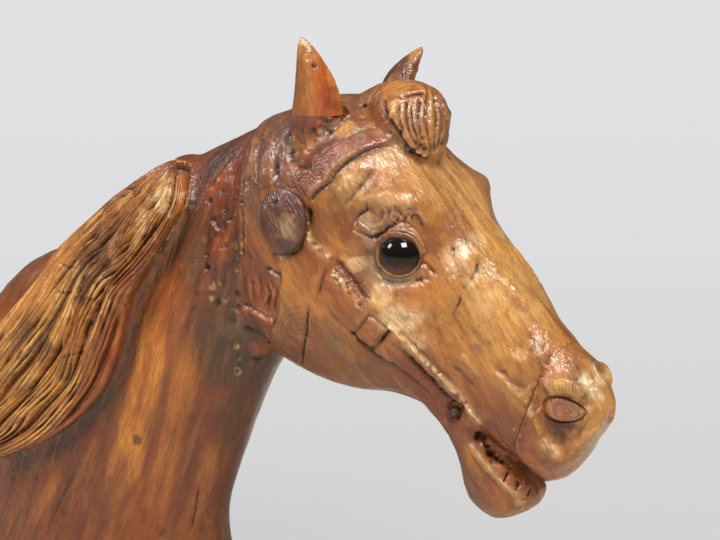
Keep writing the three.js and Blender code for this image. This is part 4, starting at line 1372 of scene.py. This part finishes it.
def carve_neck(work):
    cut, stain, chips = work.cut, work.stain, work.chips
    work.tones(NECK_TONES)
    work.tone *= (0.78, 0.53, 0.20)
    stain((167,-23,328), (24,20,15), "#30201A", 0.98, NEAR)
    stain((182,-42,299), (9,14,16), "#5A2A1E", 0.8, NEAR)
    stain((186,-47,271), (10,14,12), "#9A4A20", 0.8, NEAR)
    stain((170,-47,243), (8,14,10), "#8A4A26", 0.6, NEAR)
    stain((182,-46,236), (12,14,6), "#3E2A1E", 0.8, NEAR)
    work.ledge([(159,-35,303), (171,-33,316), (181,-29,328), (196,-34,339)], 1.5, 10,
        ("#9C4A22", 0.7), sides=NEAR)
    chips([(176,-35,315), (179,-43,292), (178,-47,268), (172,-47,239)], 60, 11, 2.6, 0.8,
        (("#5E2416", 0.8), ("#6E5048", 0.7), ("#B25C22", 0.7), ("#2E1810", 0.8)), NEAR)
    for route in (
            [(185,-39,310), (185,-44,293), (185,-47,276)], [(173,-40,298), (171,-44,283), (170,-46,267)],
            [(192,-48,267), (187,-48,252), (184,-46,237)], [(165,-46,258), (162,-47,245), (157,-47,230)],
    ):
        cut(route, 3, 1.2, 0.5, ("#4A1E12", 0.6), sides=NEAR)
    cut([(171,-42,292), (177,-44,287), (183,-46,282)], 3.6, 2.4, 0.8, sides=NEAR)
    for at in [(189,-45,291), (170,-47,255), (166,-38,300), (189,-48,272)]:
        chips([at, (at[0] + 1, at[1], at[2] + 1)], 3, 0.8, 2.4, 2, ((NEAR_BLACK, 0.9),), NEAR)
    chips([(182,-47,248), (177,-46,238), (172,-45,229), (187,-46,236)], 12, 2.5, 2.6, 1,
        ((CREAM, 0.9), (GREY, 0.7)), NEAR)
    stain((178,-33,193), (24,24,38), "#3E3024", 0.98, NEAR, 0.3)
    stain((185,-38,211), (12,16,10), "#5A5248", 0.7, NEAR, 0.6)
    stain((155,-43,272), (12,16,30), "#705448", 0.6, NEAR)
    # painted shadow: a dark band on the neck along the lower edge of the overhanging mane
    under = work.near([(151,-19,325), (152,-31,307), (150,-39,285), (136,-42,260), (118,-45,236),
        (111,-46,220), (106,-49,200), (97,-52,174), (81,-55,147), (58,-61,122), (31,-66,102), (-14,-69,82)],
        16.0)
    work.tint(under.index, np.exp(-(under.across / 8.0) ** 2) * under.taper(0.05), "#2A160C", 0.95)
    # painted shade along the front of the neck, under the head
    stain((168,-14,136), (12,20,60), "#4A2C18", 0.7, NEAR)
    stain((67,-62,69), (40,20,30), "#6A3A1E", 0.5, NEAR)
    for route, code, reach, strength in (
        ([(127,-47,226), (118,-49,181), (102,-51,126), (83,-56,63)], "#D0903A", 15.0, 0.8),
        ([(151,-46,215), (140,-42,161), (123,-40,105), (109,-43,48)], "#B87A30", 12.0, 0.6),
        ([(155,-25,129), (143,-21,88), (131,-20,46)], "#A86A2C", 9.0, 0.6),
        ([(119,-49,196), (111,-50,158), (99,-52,118)], "#8E3A14", 4.0, 0.7),
        ([(137,-47,191), (125,-45,144), (108,-46,88)], "#6E3418", 5.0, 0.7),
        ([(96,-52,118), (88,-54,86), (79,-59,47)], "#5E2A12", 6.0, 0.7),
        ([(150,-37,154), (136,-33,105), (121,-33,48)], "#6A3618", 5.0, 0.7),
        ([(65,-61,107), (50,-66,74), (36,-72,42)], "#5A2C16", 7.0, 0.6),
        ([(41,-66,88), (27,-71,63), (15,-75,38)], "#A86A30", 6.0, 0.5),
    ):
        run = work.near(route, reach)
        torn = 1 - (run.across / reach) ** 2 + 0.5 * noise(work.points[run.index], (9,9,30), 12)
        work.tint(run.index, run.taper(0.3) * ease(torn, 0.1, 0.9), code, strength)
    carve_keeper(work)
    cut([(56,-63,96), (42,-68,65), (29,-74,37)], 1.8, 1.3, 0.9, sides=NEAR)
    cut([(141,-23,88), (134,-21,63), (130,-22,42)], 1.8, 1.3, 0.9, sides=NEAR)
    for at in [(145,-35,139), (104,-50,119), (115,-39,48)]:
        stain(at, (4,4,5), BROWN, 0.85, NEAR)
    chips([(200,-45,319), (196,-44,301), (199,-48,278), (197,-46,242), (186,-34,203),
        (177,-23,170)], 30, 1.4, 2.2, 1, CHIP_COLOURS)
    cut([(191,-38,317), (193,-43,301), (197,-48,278), (195,-46,242), (186,-37,211)], 2.2, 0.9,
        0.6, taper=0.1, sides=NEAR)
    work.swell((176,-44,225), (20,14,8), 0.5, NEAR, layer="grime")


# ---- Small pieces ----
def tube_of_rings(name, rings):
    """A closed piece from rings of points with the same count, a point in the middle closing each end."""
    count, sides = rings.shape[:2]
    points = np.vstack([rings.reshape(-1, 3), rings[0].mean(0), rings[-1].mean(0)])
    row = np.arange(count - 1)[:, None] * sides
    s = np.arange(sides)
    after = (s + 1) % sides
    quads = np.stack([row + s, row + after, row + sides + after, row + sides + s], 2).reshape(-1, 4)
    last = (count - 1) * sides
    caps = [(count * sides, int(b), int(a)) for a, b in zip(s, after)]
    caps += [(last + int(a), last + int(b), count * sides + 1) for a, b in zip(s, after)]
    piece = new_piece(name, points, quads.tolist() + caps)
    face_outwards(piece)
    return piece


def mane_cover():
    """The open side of the lock without its edges, as a coarse surface that hides the neck under it."""
    rings, share = mane_grid()
    inside = np.nonzero((share > 0.04) & (share < 0.96))[0][::8]
    grid = rings[6:-6:6, inside]
    count, sides = grid.shape[:2]
    faces = [(r * sides + s, r * sides + s + 1, (r + 1) * sides + s + 1, (r + 1) * sides + s)
             for r in range(count - 1) for s in range(sides - 1)]
    return grid.reshape(-1, 3).tolist(), faces


def carve_near_ear(work):
    work.tones([((259,-54,384), 8, "#8E5A26"), ((272,-48,384), 9, "#A85A20"), ((263,-51,413), 5,
        "#A07040")])
    work.cut([(261,-53,411), (264,-53,398), (266,-52,384), (267,-50,371)], 3.4, -1.1,
        stain=(GOLD, 0.55), sides=NEAR)
    work.cut([(259,-54,403), (260,-54,389), (260,-53,375)], 7, 0.9, sides=NEAR)
    work.cut([(268,-44,404), (274,-39,390), (276,-36,379), (277,-38,373)], 3.4, -1,
        stain=(GOLD, 0.5), sides=NEAR)
    work.cut([(269,-47,403), (274,-44,390), (275,-43,379), (275,-43,372)], 5, 1.2, 0.2, sides=NEAR)
    # painted highlight near the tip of the ear
    work.stain((261,-50,415), (5,6,4), "#CDBB98", 0.85, NEAR)
    work.stain((273,-47,385), (7,9,20), "#A9531A", 0.6, NEAR)
    work.stain((275,-43,375), (6,6,5), BROWN, 0.6, NEAR)
    work.stain((275,-39,387), (3,5,8), "#7A3416", 0.7, NEAR)
    work.stain((255,-53,377), (5,8,14), "#8A5426", 0.5, NEAR)
    work.cut([(266,-51,401), (269,-50,398)], 3.4, 1.4, 1, sides=NEAR)
    work.stain((268,-50,399), (2.5, 3, 3), "#6E2F16", 0.9, NEAR)


def carve_far_ear(work):
    work.tones([((270,-45,380), 14, BROWN), ((282,-52,405), 6, GOLD)])
    work.cut([(272,46,398), (275,37,389), (308,-14,386)], 5, 1.4, 0.4, sides=NEAR)
    work.cut([(282,44,399), (283,41,388), (318,-13,385)], 4.5, -1, stain=(GOLD, 0.3), sides=NEAR)
    work.stain((279,37,388), (14,14,16), "#6A3A1E", 0.75, NEAR)
    work.stain((282,47,402), (7,7,6), GOLD, 0.85, NEAR)


def make_rosette(side, look, back):
    """A turned boss with a low crown, a rounded rim and fine slanting cuts."""
    radius = sizes().rosette_radius / MM
    thickness = 3.2
    bpy.ops.mesh.primitive_cylinder_add(
        vertices=96, radius=radius * MM, depth=thickness * MM,
        location=tuple((back + look * thickness / 2) * MM), rotation=aimed(look))
    piece = added("rosette")
    for inset, rise in ((2.0, 0.9), (4.0, 1.5), (5.0, 1.2), (5.0, 0.6)):
        top = (points_of(piece.data) @ look).max()
        select_faces(piece, lambda centre: centre @ look > top - 0.05)
        edit(piece, bpy.ops.mesh.inset, False, thickness=inset * MM, depth=rise * MM)
    remesh(piece, 0.65, 4)
    work = Carving(piece, 41)
    gap = work.points - back
    front = ease(work.normals @ look, 0.5, 0.9)
    far = np.linalg.norm(gap - (gap @ look)[:, None] * look, axis=1)
    slant = (gap[:, 0] * 0.77 + gap[:, 2] * 0.64) / 2.3 + 0.35 * noise(gap, 11.0, 2)
    cuts = groove_wave(slant, 1.2) * (0.6 + 0.4 * noise(gap, 5.0, 4))
    work.rise -= 0.8 * cuts * front * ease(radius - far, 0.5, 3.0)
    work.grime += 0.6 * cuts * front + 0.6 * (1 - front)
    work.facets(8, 0.25)
    work.tones([(tuple(back), 60, "#523230")])
    work.wear += 0.35 * front * ease(noise(gap, 9.0, 6), 0.2, 0.7)
    # painted sheen: a pale patch on the right of the crown where it catches the light
    work.stain(back + look * 5 + np.array([9, 0, -3]), (8,9,10), "#B9A190", 0.6, NEAR)
    work.done(straight_grain(work.points, (0.64, 0, -0.77)))
    finish_piece(piece, "carved_rosette_" + side, finish("rosette_wood"), "rosette_wood", "rosette_" + side)


def make_nail(side, sign):
    """A hand-made nail with a low domed head, driven in up to it."""
    radius = sizes().nail_radius
    bpy.ops.mesh.primitive_cylinder_add(
        vertices=32, radius=radius, depth=4 * MM, location=(243 * MM, -60 * sign * MM, 311 * MM),
        rotation=aimed((0, -sign, 0)))
    piece = added("nail")
    select_faces(piece, lambda centre: -sign * centre[:, 1] > 61.9)
    for inset, rise in ((0.45, 0.25), (0.5, 0.12)):
        edit(piece, bpy.ops.mesh.inset, False, thickness=inset * MM, depth=rise * MM)
    remesh(piece, 0.25)
    work = Carving(piece, 42)
    work.facets(1.4, 0.10)
    work.done(straight_grain(work.points, (0,1,0)))
    finish_piece(piece, "nail_iron_" + side, finish("old_iron"), "old_iron", "nail_" + side)


# ---- Stage ----
CAMERA_TARGET = Vector((0.268, 0.0, 0.257))
CAMERA_AROUND = math.radians(35)
CAMERA_UP = math.radians(12)
CAMERA_AWAY = 1.160
CAMERA_LENS = 85  # mm, before a film 36 mm wide
CAMERA_SENSOR = 36


def make_light(name, toward, away, size, power, colour, mirrored=True):
    """A square softbox some way off the horse, turned to it."""
    light = bpy.data.lights.new(name, "AREA")
    light.shape = "SQUARE"
    light.size = size
    light.energy = power
    light.color = linear(colour)
    lamp = bpy.data.objects.new(name, light)
    lamp.location = CAMERA_TARGET + Vector(toward) * away
    lamp.rotation_euler = (CAMERA_TARGET - lamp.location).to_track_quat("-Z", "Y").to_euler()
    lamp.visible_glossy = mirrored
    bpy.context.scene.collection.objects.link(lamp)


def make_room(scene):
    """A pale room, lit from above, whose walls show only dimly in the varnish."""
    world, tree = with_tree(bpy.data.worlds, "Pale room")
    toward = node(tree, "TexCoord").outputs["Generated"]
    parts = node(tree, "SeparateXYZ", {"Vector": toward})
    upper = node(tree, "MapRange", {
        "Value": parts.outputs["Z"], "From Min": -0.1, "From Max": 0.9, "To Min": 0.20, "To Max": 0.66})
    mirrored = node(tree, "LightPath").outputs["Is Glossy Ray"]
    dimmed = node(tree, "MapRange", {"Value": mirrored, "To Min": 1, "To Max": 0.35})
    strength = node(tree, "Math", {0: upper.outputs[0], 1: dimmed.outputs[0]}, operation="MULTIPLY")
    light = node(tree, "Background", {"Color": (*linear("#F8F2E8"), 1), "Strength": strength.outputs[0]})
    node(tree, "OutputWorld", {"Surface": light.outputs[0]})
    scene.world = world


def make_stage():
    scene = bpy.context.scene
    scene.view_settings.view_transform = "Standard"
    bpy.ops.object.select_all(action="DESELECT")
    bpy.ops.mesh.primitive_plane_add(size=60, location=(0,0,0))
    floor = added("floor")
    floor.data.materials.append(finish("floor"))
    make_room(scene)
    make_light("Key softbox", (0.42, -0.32, 0.85), 1.5, 0.6, 27, "#FFFCF6")
    make_light("Left window", (-0.62, -0.50, 0.60), 1.5, 0.45, 9, "#FFFFFF")
    make_light("Right fill", (0.80, -0.58, 0.15), 1.7, 1.0, 3, "#FFFBF6", False)
    make_light("Side window", (0.02, -0.97, 0.10), 1.6, 0.9, 7, "#FFFDFA", False)
    level = math.cos(CAMERA_UP)
    back = Vector((math.sin(CAMERA_AROUND) * level, -math.cos(CAMERA_AROUND) * level, math.sin(CAMERA_UP)))
    camera = bpy.data.cameras.new("Camera")
    camera.lens = CAMERA_LENS
    camera.sensor_width = CAMERA_SENSOR
    holder = bpy.data.objects.new("Camera", camera)
    holder.location = CAMERA_TARGET + back * CAMERA_AWAY
    holder.rotation_euler = (-back).to_track_quat("-Z", "Y").to_euler()
    scene.collection.objects.link(holder)
    scene.camera = holder


# ---- Mane ----
MANE_FRONT = [(126,-12,325), (136,-26,314), (144,-39,297), (138,-45,279), (123,-50,254),
              (107,-54,231), (103,-57,211), (97,-62,183), (84,-66,154), (58,-71,128),
              (28,-76,108), (-15,-76,89), (-58,-68,75), (-98,-54,68)]
MANE_BACK = [(119,-3,326), (105,-4,320), (80,-5,307), (53,-7,290), (30,-9,272), (12,-12,257),
             (0,-20,242), (-9,-32,222), (-25,-40,202), (-46,-46,180), (-66,-50,154),
             (-84,-49,128), (-98,-46,104), (-108,-44,82)]
MANE_ROWS = 285
MANE_COLUMNS = 300
MANE_INNER = 10
MANE_BULGE = 9.0
MANE_THICK = 13.0
MANE_SINK = 24.0
MANE_SQUARE = 2.4
MANE_TRESSES = 6
MANE_STRANDS = 33
MANE_TUCK = 9.0


def curve_at(route, share):
    """Points on the smooth curve through a route, at shares of the way from its start."""
    route = np.asarray(route, float)
    ends = np.vstack([2 * route[0] - route[1], route, 2 * route[-1] - route[-2]])
    place = np.clip(share, 0, 1) * (len(route) - 1)
    first = np.minimum(place.astype(int), len(route) - 2)
    t = (place - first)[:, None]
    a, b, c, d = (ends[first + k] for k in range(4))
    bend = (2 * a - 5 * b + 4 * c - d) * t ** 2 + (3 * b - a - 3 * c + d) * t ** 3
    return b + 0.5 * ((c - a) * t + bend)


def mane_grid():
    """Rings of points down the lock, and the share across it of each point on the open side."""
    along = np.linspace(0, 1, MANE_ROWS)
    front, back = curve_at(MANE_FRONT, along), curve_at(MANE_BACK, along)
    angle = np.linspace(0, math.pi, 2000)
    across = np.sign(np.cos(angle)) * np.abs(np.cos(angle)) ** (2 / MANE_SQUARE)
    thick = np.abs(np.sin(angle)) ** (2 / MANE_SQUARE)
    run = np.concatenate([[0], np.cumsum(np.hypot(np.diff(40 * across), np.diff(18 * thick)))])
    even = np.linspace(0, run[-1], MANE_COLUMNS)
    across, thick = np.interp(even, run, across), np.interp(even, run, thick)
    share = 0.5 - across / 2
    inner_angle = math.pi * (1 + np.arange(1, MANE_INNER + 1) / (MANE_INNER + 1))
    inner_across = np.sign(np.cos(inner_angle)) * np.abs(np.cos(inner_angle)) ** (2 / MANE_SQUARE)
    inner_share = 0.5 - inner_across / 2
    inner_thick = np.abs(np.sin(inner_angle)) ** (2 / MANE_SQUARE)
    swell = MANE_BULGE * 4 * share * (1 - share) + MANE_THICK * thick
    fade = np.sin(math.pi * (0.1 + 0.84 * along)) ** 0.5
    shares = np.concatenate([share, inner_share])
    out = np.concatenate([swell, -MANE_SINK * inner_thick])
    rings = front[:, None] + (back - front)[:, None] * shares[None, :, None]
    rings = rings + np.array([0.0, -1.0, 0.0]) * (out[None, :] * fade[:, None])[:, :, None]
    rings[:, :, 2] -= MANE_TUCK * (1 - ease(along, 0.0, 0.09))[:, None]
    return rings, share


def groove_wave(phase, sharp):
    """0 on the crests between whole phases, 1 in the cuts at them."""
    return (1 - np.abs(np.sin(math.pi * phase))) ** sharp


def carve_mane(work, rings, share):
    """Tresses, strands, cuts and cracks on the open side of the lock."""
    rows, columns = MANE_ROWS, MANE_COLUMNS
    open_side = (np.arange(rows)[:, None] * (columns + MANE_INNER) + np.arange(columns)).ravel()
    outer = rings[:, :columns]
    middle = rings[:, :columns].mean(1)
    down = np.concatenate([[0], np.cumsum(np.linalg.norm(np.diff(middle, axis=0), axis=1))])
    width = np.linalg.norm(np.diff(outer, axis=1), axis=2).sum(1)
    v = np.repeat(down, columns)
    q = np.tile(share, rows)
    w = np.repeat(width, columns)
    t = v / down[-1]
    place = np.stack([v, q * w, 0 * v], 1)
    flow = q + 0.055 * np.sin(2 * math.pi * (1.3 * t + 0.1)) + 0.03 * noise(place, (90,45,60), 1)
    flow = flow + 0.02 * noise(place, (40,18,60), 4)
    tress = flow * MANE_TRESSES + 0.35 * noise(place, (120,200,90), 2)
    cell = np.floor(tress)
    strands = MANE_STRANDS * flow + 3.1 * np.sin(cell * 2.4) + 1.5 * noise(place, (55,14,60), 5)
    strands = strands + 2.2 * t * np.sin(cell * 1.7)
    pitch = sizes().strand_pitch / MM
    strands = strands * 3.6 / pitch
    force = 0.55 + 0.45 * noise(place, (32,9,60), 6)
    fine = groove_wave(strands, 1.3) * sizes().strand_depth / MM * (0.55 + 0.75 * force)
    finer = groove_wave(strands * 2.3 + 0.4 * noise(place, (30,6,60), 9), 1.6) * 0.55
    finer = finer * ease(force, 0.3, 0.8)
    big = groove_wave(tress, 2.2) * 5.0
    crown = 1.6 * np.sin(math.pi * (tress - cell))
    cleft = np.exp(-((flow - 0.53 + 0.10 * (t - 0.3)) * w / 3.4) ** 2)
    cleft = cleft * ease(t, 0.14, 0.24) * (1 - ease(t, 0.80, 0.95))
    edge = ease(q * w, 0.5, 4.5) * ease((1 - q) * w, 1.0, 9.0)
    ends = ease(v, 2, 20) * (1 - ease(v, down[-1] - 14, down[-1]))
    rise = (-fine - finer - big + crown) * edge * ends - 5.0 * cleft * edge
    work.grime[open_side] += (0.75 * ease(fine, 0.6, 1.9) + 0.8 * ease(big, 1.8, 4.4) + 0.9 * cleft) * edge
    crest = (1 - groove_wave(strands, 0.8)) * ease(noise(place, (22,6,60), 12), 0.05, 0.45)
    work.wear[open_side] += 0.75 * crest * edge * ease(crown, 0.5, 1.4)
    draw = work.draw
    for _ in range(150):  # short deep cuts left by the gouge
        at_v, at_q = draw.uniform(0.06, 0.95) * down[-1], draw.uniform(0.08, 0.92)
        near_by = np.nonzero(np.abs(v - at_v) < 16)[0]
        local = near_by[np.argmin((v[near_by] - at_v) ** 2 + ((q[near_by] - at_q) * w[near_by]) ** 2)]
        gap = (strands[near_by] - np.round(strands[local])) / MANE_STRANDS * w[near_by] * pitch / 3.6
        shape = np.exp(-(gap / draw.uniform(0.9, 1.5)) ** 2)
        shape = shape * np.exp(-((v[near_by] - at_v) / draw.uniform(4, 9)) ** 2)
        rise[near_by] -= draw.uniform(1.2, 3.4) * shape
        work.grime[open_side[near_by]] += 0.8 * shape
    work.rise[open_side] += rise
    work.tones([((133,-18,316), 16, UMBER), ((131,-43,302), 16, GOLD), ((115,-53,280), 22, TAN),
        ((85,-51,266), 26, OCHRE), ((18,-57,214), 30, GOLD), ((95,-64,225), 20, UMBER),
        ((62,-72,200), 24, OCHRE), ((89,-70,174), 24, UMBER), ((29,-82,144), 36, GOLD),
        ((108,-56,233), 14, RED_BROWN), ((63,-49,255), 12, UMBER)])
    work.tint(open_side, 0.7 * (1 - ease(v, 4, 26)), BROWN)
    work.tint(open_side, ease(noise(place, (26,7,60), 31), 0.15, 0.6), "#5E3418", 0.75)
    work.tint(open_side, ease(noise(place, (30,8,60), 33), 0.25, 0.6), "#C9963F", 0.6)
    work.tint(open_side, 1 - ease(q * w, 3, 11), "#6E2E16", 0.7)
    tint = np.interp(np.sin(cell * 5.3 + 1.0), [-1, 1], [0, 1])
    work.tint(open_side, 0.45 * tint * ease(noise(place, (50,20,60), 15), -0.4, 0.4), ORANGE)
    work.tint(open_side, 0.5 * ease(noise(place, (60,30,60), 18), 0.1, 0.6), BROWN)
    # dark stains and pale patches; the pale patches are partly worn varnish and partly painted highlight
    for at, radii, code, strength in (
        ((77,-56,249), (16,12,22), "#46291F", 0.9), ((92,-50,272), (12,12,12), "#5A382C", 0.7),
        ((70,-64,228), (10,12,14), "#3A241A", 0.85), ((115,-58,254), (8,12,14), "#6E3A1C", 0.7),
        ((33,-74,185), (14,12,8), "#5A3A22", 0.7), ((3,-65,190), (14,12,10), "#4E3420", 0.6),
        ((130,-45,298), (6,9,13), "#EAD9C0", 0.85), ((117,-52,281), (6,9,13), "#E2CBA8", 0.75),
        ((56,-64,218), (7,9,12), "#D8B57C", 0.7), ((91,-56,260), (4,9,14), "#BFA08E", 0.6),
        ((49,-79,159), (14,9,9), "#CF9E5A", 0.7), ((98,-54,198), (7,9,18), "#8E4A1A", 0.8),
        ((-33,-37,203), (9,9,12), "#D8B57C", 0.5), ((123,-50,287), (3,9,10), "#6A2E16", 0.7),
    ):
        work.stain(at, radii, code, strength, NEAR, 1.1)
    for route in (
            [(26,-43,240), (41,-50,240), (54,-54,242)], [(37,-58,222), (49,-61,225), (57,-61,228)],
            [(56,-76,179), (67,-75,183), (79,-72,187)], [(101,-61,225), (104,-57,221), (101,-46,216)],
    ):
        work.cut(route, 1.8, 1.2, 0.9, taper=0.2, sides=NEAR)
    work.chips([(129,-42,305), (130,-46,297), (130,-49,290)], 8, 1.6, 2, 0.5, ((CREAM, 0.8),), NEAR)
    work.chips([(110,-45,292), (112,-52,283), (111,-54,274)], 8, 1.6, 2, 0.5, ((CREAM, 0.8),), NEAR)
    grain = np.zeros((rows * (columns + MANE_INNER) + 2, 3))
    grain[open_side] = np.stack([v, strands * 3.6, 0.3 * v], 1)
    return grain


# ---- Operators ----
class HORSE_OT_neck(bpy.types.Operator):
    """Carve the neck and shoulder block"""

    bl_idname = "horse.neck"
    bl_label = "Neck"

    def execute(self, context):
        piece = sawn_neck(sizes().neck_voxel / MM)
        lock = BVHTree.FromPolygons(*mane_cover())
        refine(piece, lambda centre: (centre[:, 1] < 6) & (centre[:, 2] > 2))
        work = Carving(piece, 21, [cut_face(NECK_JOINT, -1), GROUND])
        work.facets(16, 0.35)
        covered = np.zeros(len(work.points))
        for i in np.nonzero(work.points[:, 1] < 0)[0]:
            near_by = lock.find_nearest(Vector(work.points[i]), 7.0)
            if near_by[0] is not None:
                covered[i] = 1
        covered = averaged(covered, work.edges, 2)
        work.rise -= 6.0 * ease(covered, 0.5, 1.0)
        carve_neck(work)
        work.done(straight_grain(work.points, (-0.34, 0.0, -0.94)))
        finish_piece(piece, "carved_neck", finish("neck_wood"), "neck_wood", "neck_block")
        return {"FINISHED"}


class HORSE_OT_mane(bpy.types.Operator):
    """Carve the long lock of the mane, which is cut in one with the neck"""

    bl_idname = "horse.mane"
    bl_label = "Mane"

    def execute(self, context):
        rings, share = mane_grid()
        piece = tube_of_rings("mane", rings)
        work = Carving(piece, 22)
        grain = carve_mane(work, rings, share)
        work.done(grain)
        finish_piece(piece, "carved_mane", finish("mane_wood"), "neck_wood", "neck_block", sharp=80)
        return {"FINISHED"}


class HORSE_OT_head(bpy.types.Operator):
    """Carve the head, with its harness, brow, cheek, nose and lower jaw"""

    bl_idname = "horse.head"
    bl_label = "Head"

    def execute(self, context):
        piece = sawn_head(sizes().head_voxel / MM)
        refine(piece, lambda centre: centre[:, 1] < 5)
        eye = EYE_CENTRE + EYE_RADIUS * EYE_LOOK
        for place, reach in (
            (eye, 27), ((392,-16,144), 24), ((269,-53,330), 20), ((300,-57,262), 18), ((225,-53,246), 17),
        ):
            refine_round(piece, place, reach)
        work = Carving(piece, 23, [
            cut_face(NECK_JOINT, 1), cut_face(MUZZLE_JOINT, -1), cut_face(MOUTH_PLANE, -1)])
        work.facets(12, 0.30)
        carve_head(work)
        work.done(straight_grain(work.points, (0.6, 0.0, -0.8)))
        finish_piece(piece, "carved_head", finish("old_wood"), "head_wood", "head_block")
        return {"FINISHED"}


class HORSE_OT_muzzle(bpy.types.Operator):
    """Carve the muzzle block with its nostrils and upper lip"""

    bl_idname = "horse.muzzle"
    bl_label = "Muzzle"

    def execute(self, context):
        piece = sawn_muzzle(sizes().muzzle_voxel / MM)
        refine(piece, lambda centre: centre[:, 1] < 5)
        refine_round(piece, (442,-25,191), 21)  # the nostril
        work = Carving(piece, 24, [cut_face(MUZZLE_JOINT, 1), cut_face(MOUTH_PLANE, 1)])
        work.facets(9, 0.25)
        carve_muzzle(work)
        work.done(straight_grain(work.points, (0.5, 0.0, -0.85)))
        finish_piece(piece, "carved_muzzle", finish("old_wood"), "muzzle_wood", "muzzle_block")
        return {"FINISHED"}


class HORSE_OT_ears(bpy.types.Operator):
    """Carve the two ears, glued on roots that are part of the head"""

    bl_idname = "horse.ears"
    bl_label = "Ears"

    def execute(self, context):
        for side, sign in SIDES:
            node_name = "ear_" + side
            piece = copied_node(node_name, node_name)
            points = points_of(piece.data)
            points[points[:, 2] < EAR_LEVEL + 0.5, 2] -= 4
            set_points(piece.data, points)
            remesh(piece, sizes().ear_voxel / MM, 5)
            halve(piece, (0, 0, EAR_LEVEL), (0,0,1), keep_front=True)
            if sign == RIGHT:
                refine(piece, lambda centre: centre[:, 2] > EAR_LEVEL + 1)
            work = Carving(piece, 25 + sign, [(GROUND[0] + (0, 0, EAR_LEVEL), GROUND[1])])
            work.facets(7, 0.25)
            if sign == RIGHT:
                carve_near_ear(work)
            else:
                carve_far_ear(work)
            work.done(straight_grain(work.points, (0.1, -0.2 * sign, 1.0)))
            finish_piece(piece, "carved_ear_" + side, finish("old_wood"), "ear_wood", node_name)
        return {"FINISHED"}


class HORSE_OT_rosettes(bpy.types.Operator):
    """Turn and hatch the two rosettes, and set their nails"""

    bl_idname = "horse.rosettes"
    bl_label = "Rosettes and nails"

    def execute(self, context):
        for side, sign in SIDES:
            look = unit(np.array([-0.13, -0.99 * sign, 0.05]))
            back = np.array([247.0, -56.0 * sign, 298.0])
            make_rosette(side, look, back)
            make_nail(side, sign)
        return {"FINISHED"}


class HORSE_OT_bit(bpy.types.Operator):
    """Make the broken iron stubs left of the bit"""

    bl_idname = "horse.bit"
    bl_label = "Bit stubs"

    def execute(self, context):
        for side, sign in SIDES:
            bpy.ops.mesh.primitive_cylinder_add(
                vertices=40, radius=2.6 * MM, depth=8 * MM, location=(364 * MM, -29 * sign * MM, 180 * MM),
                rotation=aimed((0, -sign, 0)))
            piece = added("stub")
            apply_modifier(piece, "BEVEL", width=0.5 * MM, segments=2)
            remesh(piece, 0.4)
            work = Carving(piece, 31)
            work.facets(2.2, 0.35)
            work.move[:, 1] += sign * 0.8 * ease(noise(work.points, 3.0, 8), 0, 0.5) * (
                -work.points[:, 1] * sign > 31)
            work.done(straight_grain(work.points, (0, 1, 0.2)))
            finish_piece(piece, "bit_stub_iron_" + side, finish("old_iron"), "old_iron", "bit_stub_" + side)
        return {"FINISHED"}


class HORSE_OT_eyes(bpy.types.Operator):
    """Blow the two glass eyes"""

    bl_idname = "horse.eyes"
    bl_label = "Glass eyes"

    def execute(self, context):
        for side, sign in SIDES:
            mirror = np.array([1, sign, 1])
            centre, look = EYE_CENTRE * mirror, EYE_LOOK * mirror
            bpy.ops.mesh.primitive_uv_sphere_add(
                segments=96, ring_count=64, radius=EYE_RADIUS * MM, location=tuple(centre * MM),
                rotation=aimed(look))
            piece = added("eye")
            halve(piece, centre + look * 3.2, look, keep_front=True)
            finish_piece(piece, "glass_eye_" + side, finish("glass"), "eye_glass", "eye_" + side, sharp=40)
        return {"FINISHED"}


class HORSE_OT_stage(bpy.types.Operator):
    """Lay the pale floor, hang the lights and place the camera"""

    bl_idname = "horse.stage"
    bl_label = "Stage"

    def execute(self, context):
        make_stage()
        return {"FINISHED"}


OPERATORS = (
    HORSE_OT_neck, HORSE_OT_mane, HORSE_OT_head, HORSE_OT_muzzle, HORSE_OT_ears, HORSE_OT_rosettes,
    HORSE_OT_bit, HORSE_OT_eyes, HORSE_OT_stage,
)


class HORSE_PT_panel(bpy.types.Panel):
    """Buttons and settings for the horse."""

    bl_label = "Carved horse"
    bl_idname = "HORSE_PT_panel"
    bl_space_type = "VIEW_3D"
    bl_region_type = "UI"
    bl_category = "Horse"

    def draw(self, context):
        for operator in OPERATORS:
            self.layout.operator(operator.bl_idname)
        for group in (context.scene.horse_sizes, context.scene.horse_colours):
            for key in group.__annotations__:
                self.layout.prop(group, key)


CLASSES = (HorseSizes, HorseColours, *OPERATORS, HORSE_PT_panel)


def register():
    for cls in CLASSES:
        bpy.utils.register_class(cls)
    bpy.types.Scene.horse_sizes = bpy.props.PointerProperty(type=HorseSizes)
    bpy.types.Scene.horse_colours = bpy.props.PointerProperty(type=HorseColours)


def unregister():
    del bpy.types.Scene.horse_colours
    del bpy.types.Scene.horse_sizes
    for cls in reversed(CLASSES):
        bpy.utils.unregister_class(cls)


def main():
    register()
    for operator in OPERATORS:
        group, name = operator.bl_idname.split(".")
        getattr(getattr(bpy.ops, group), name)()


if __name__ == "__main__":
    main()
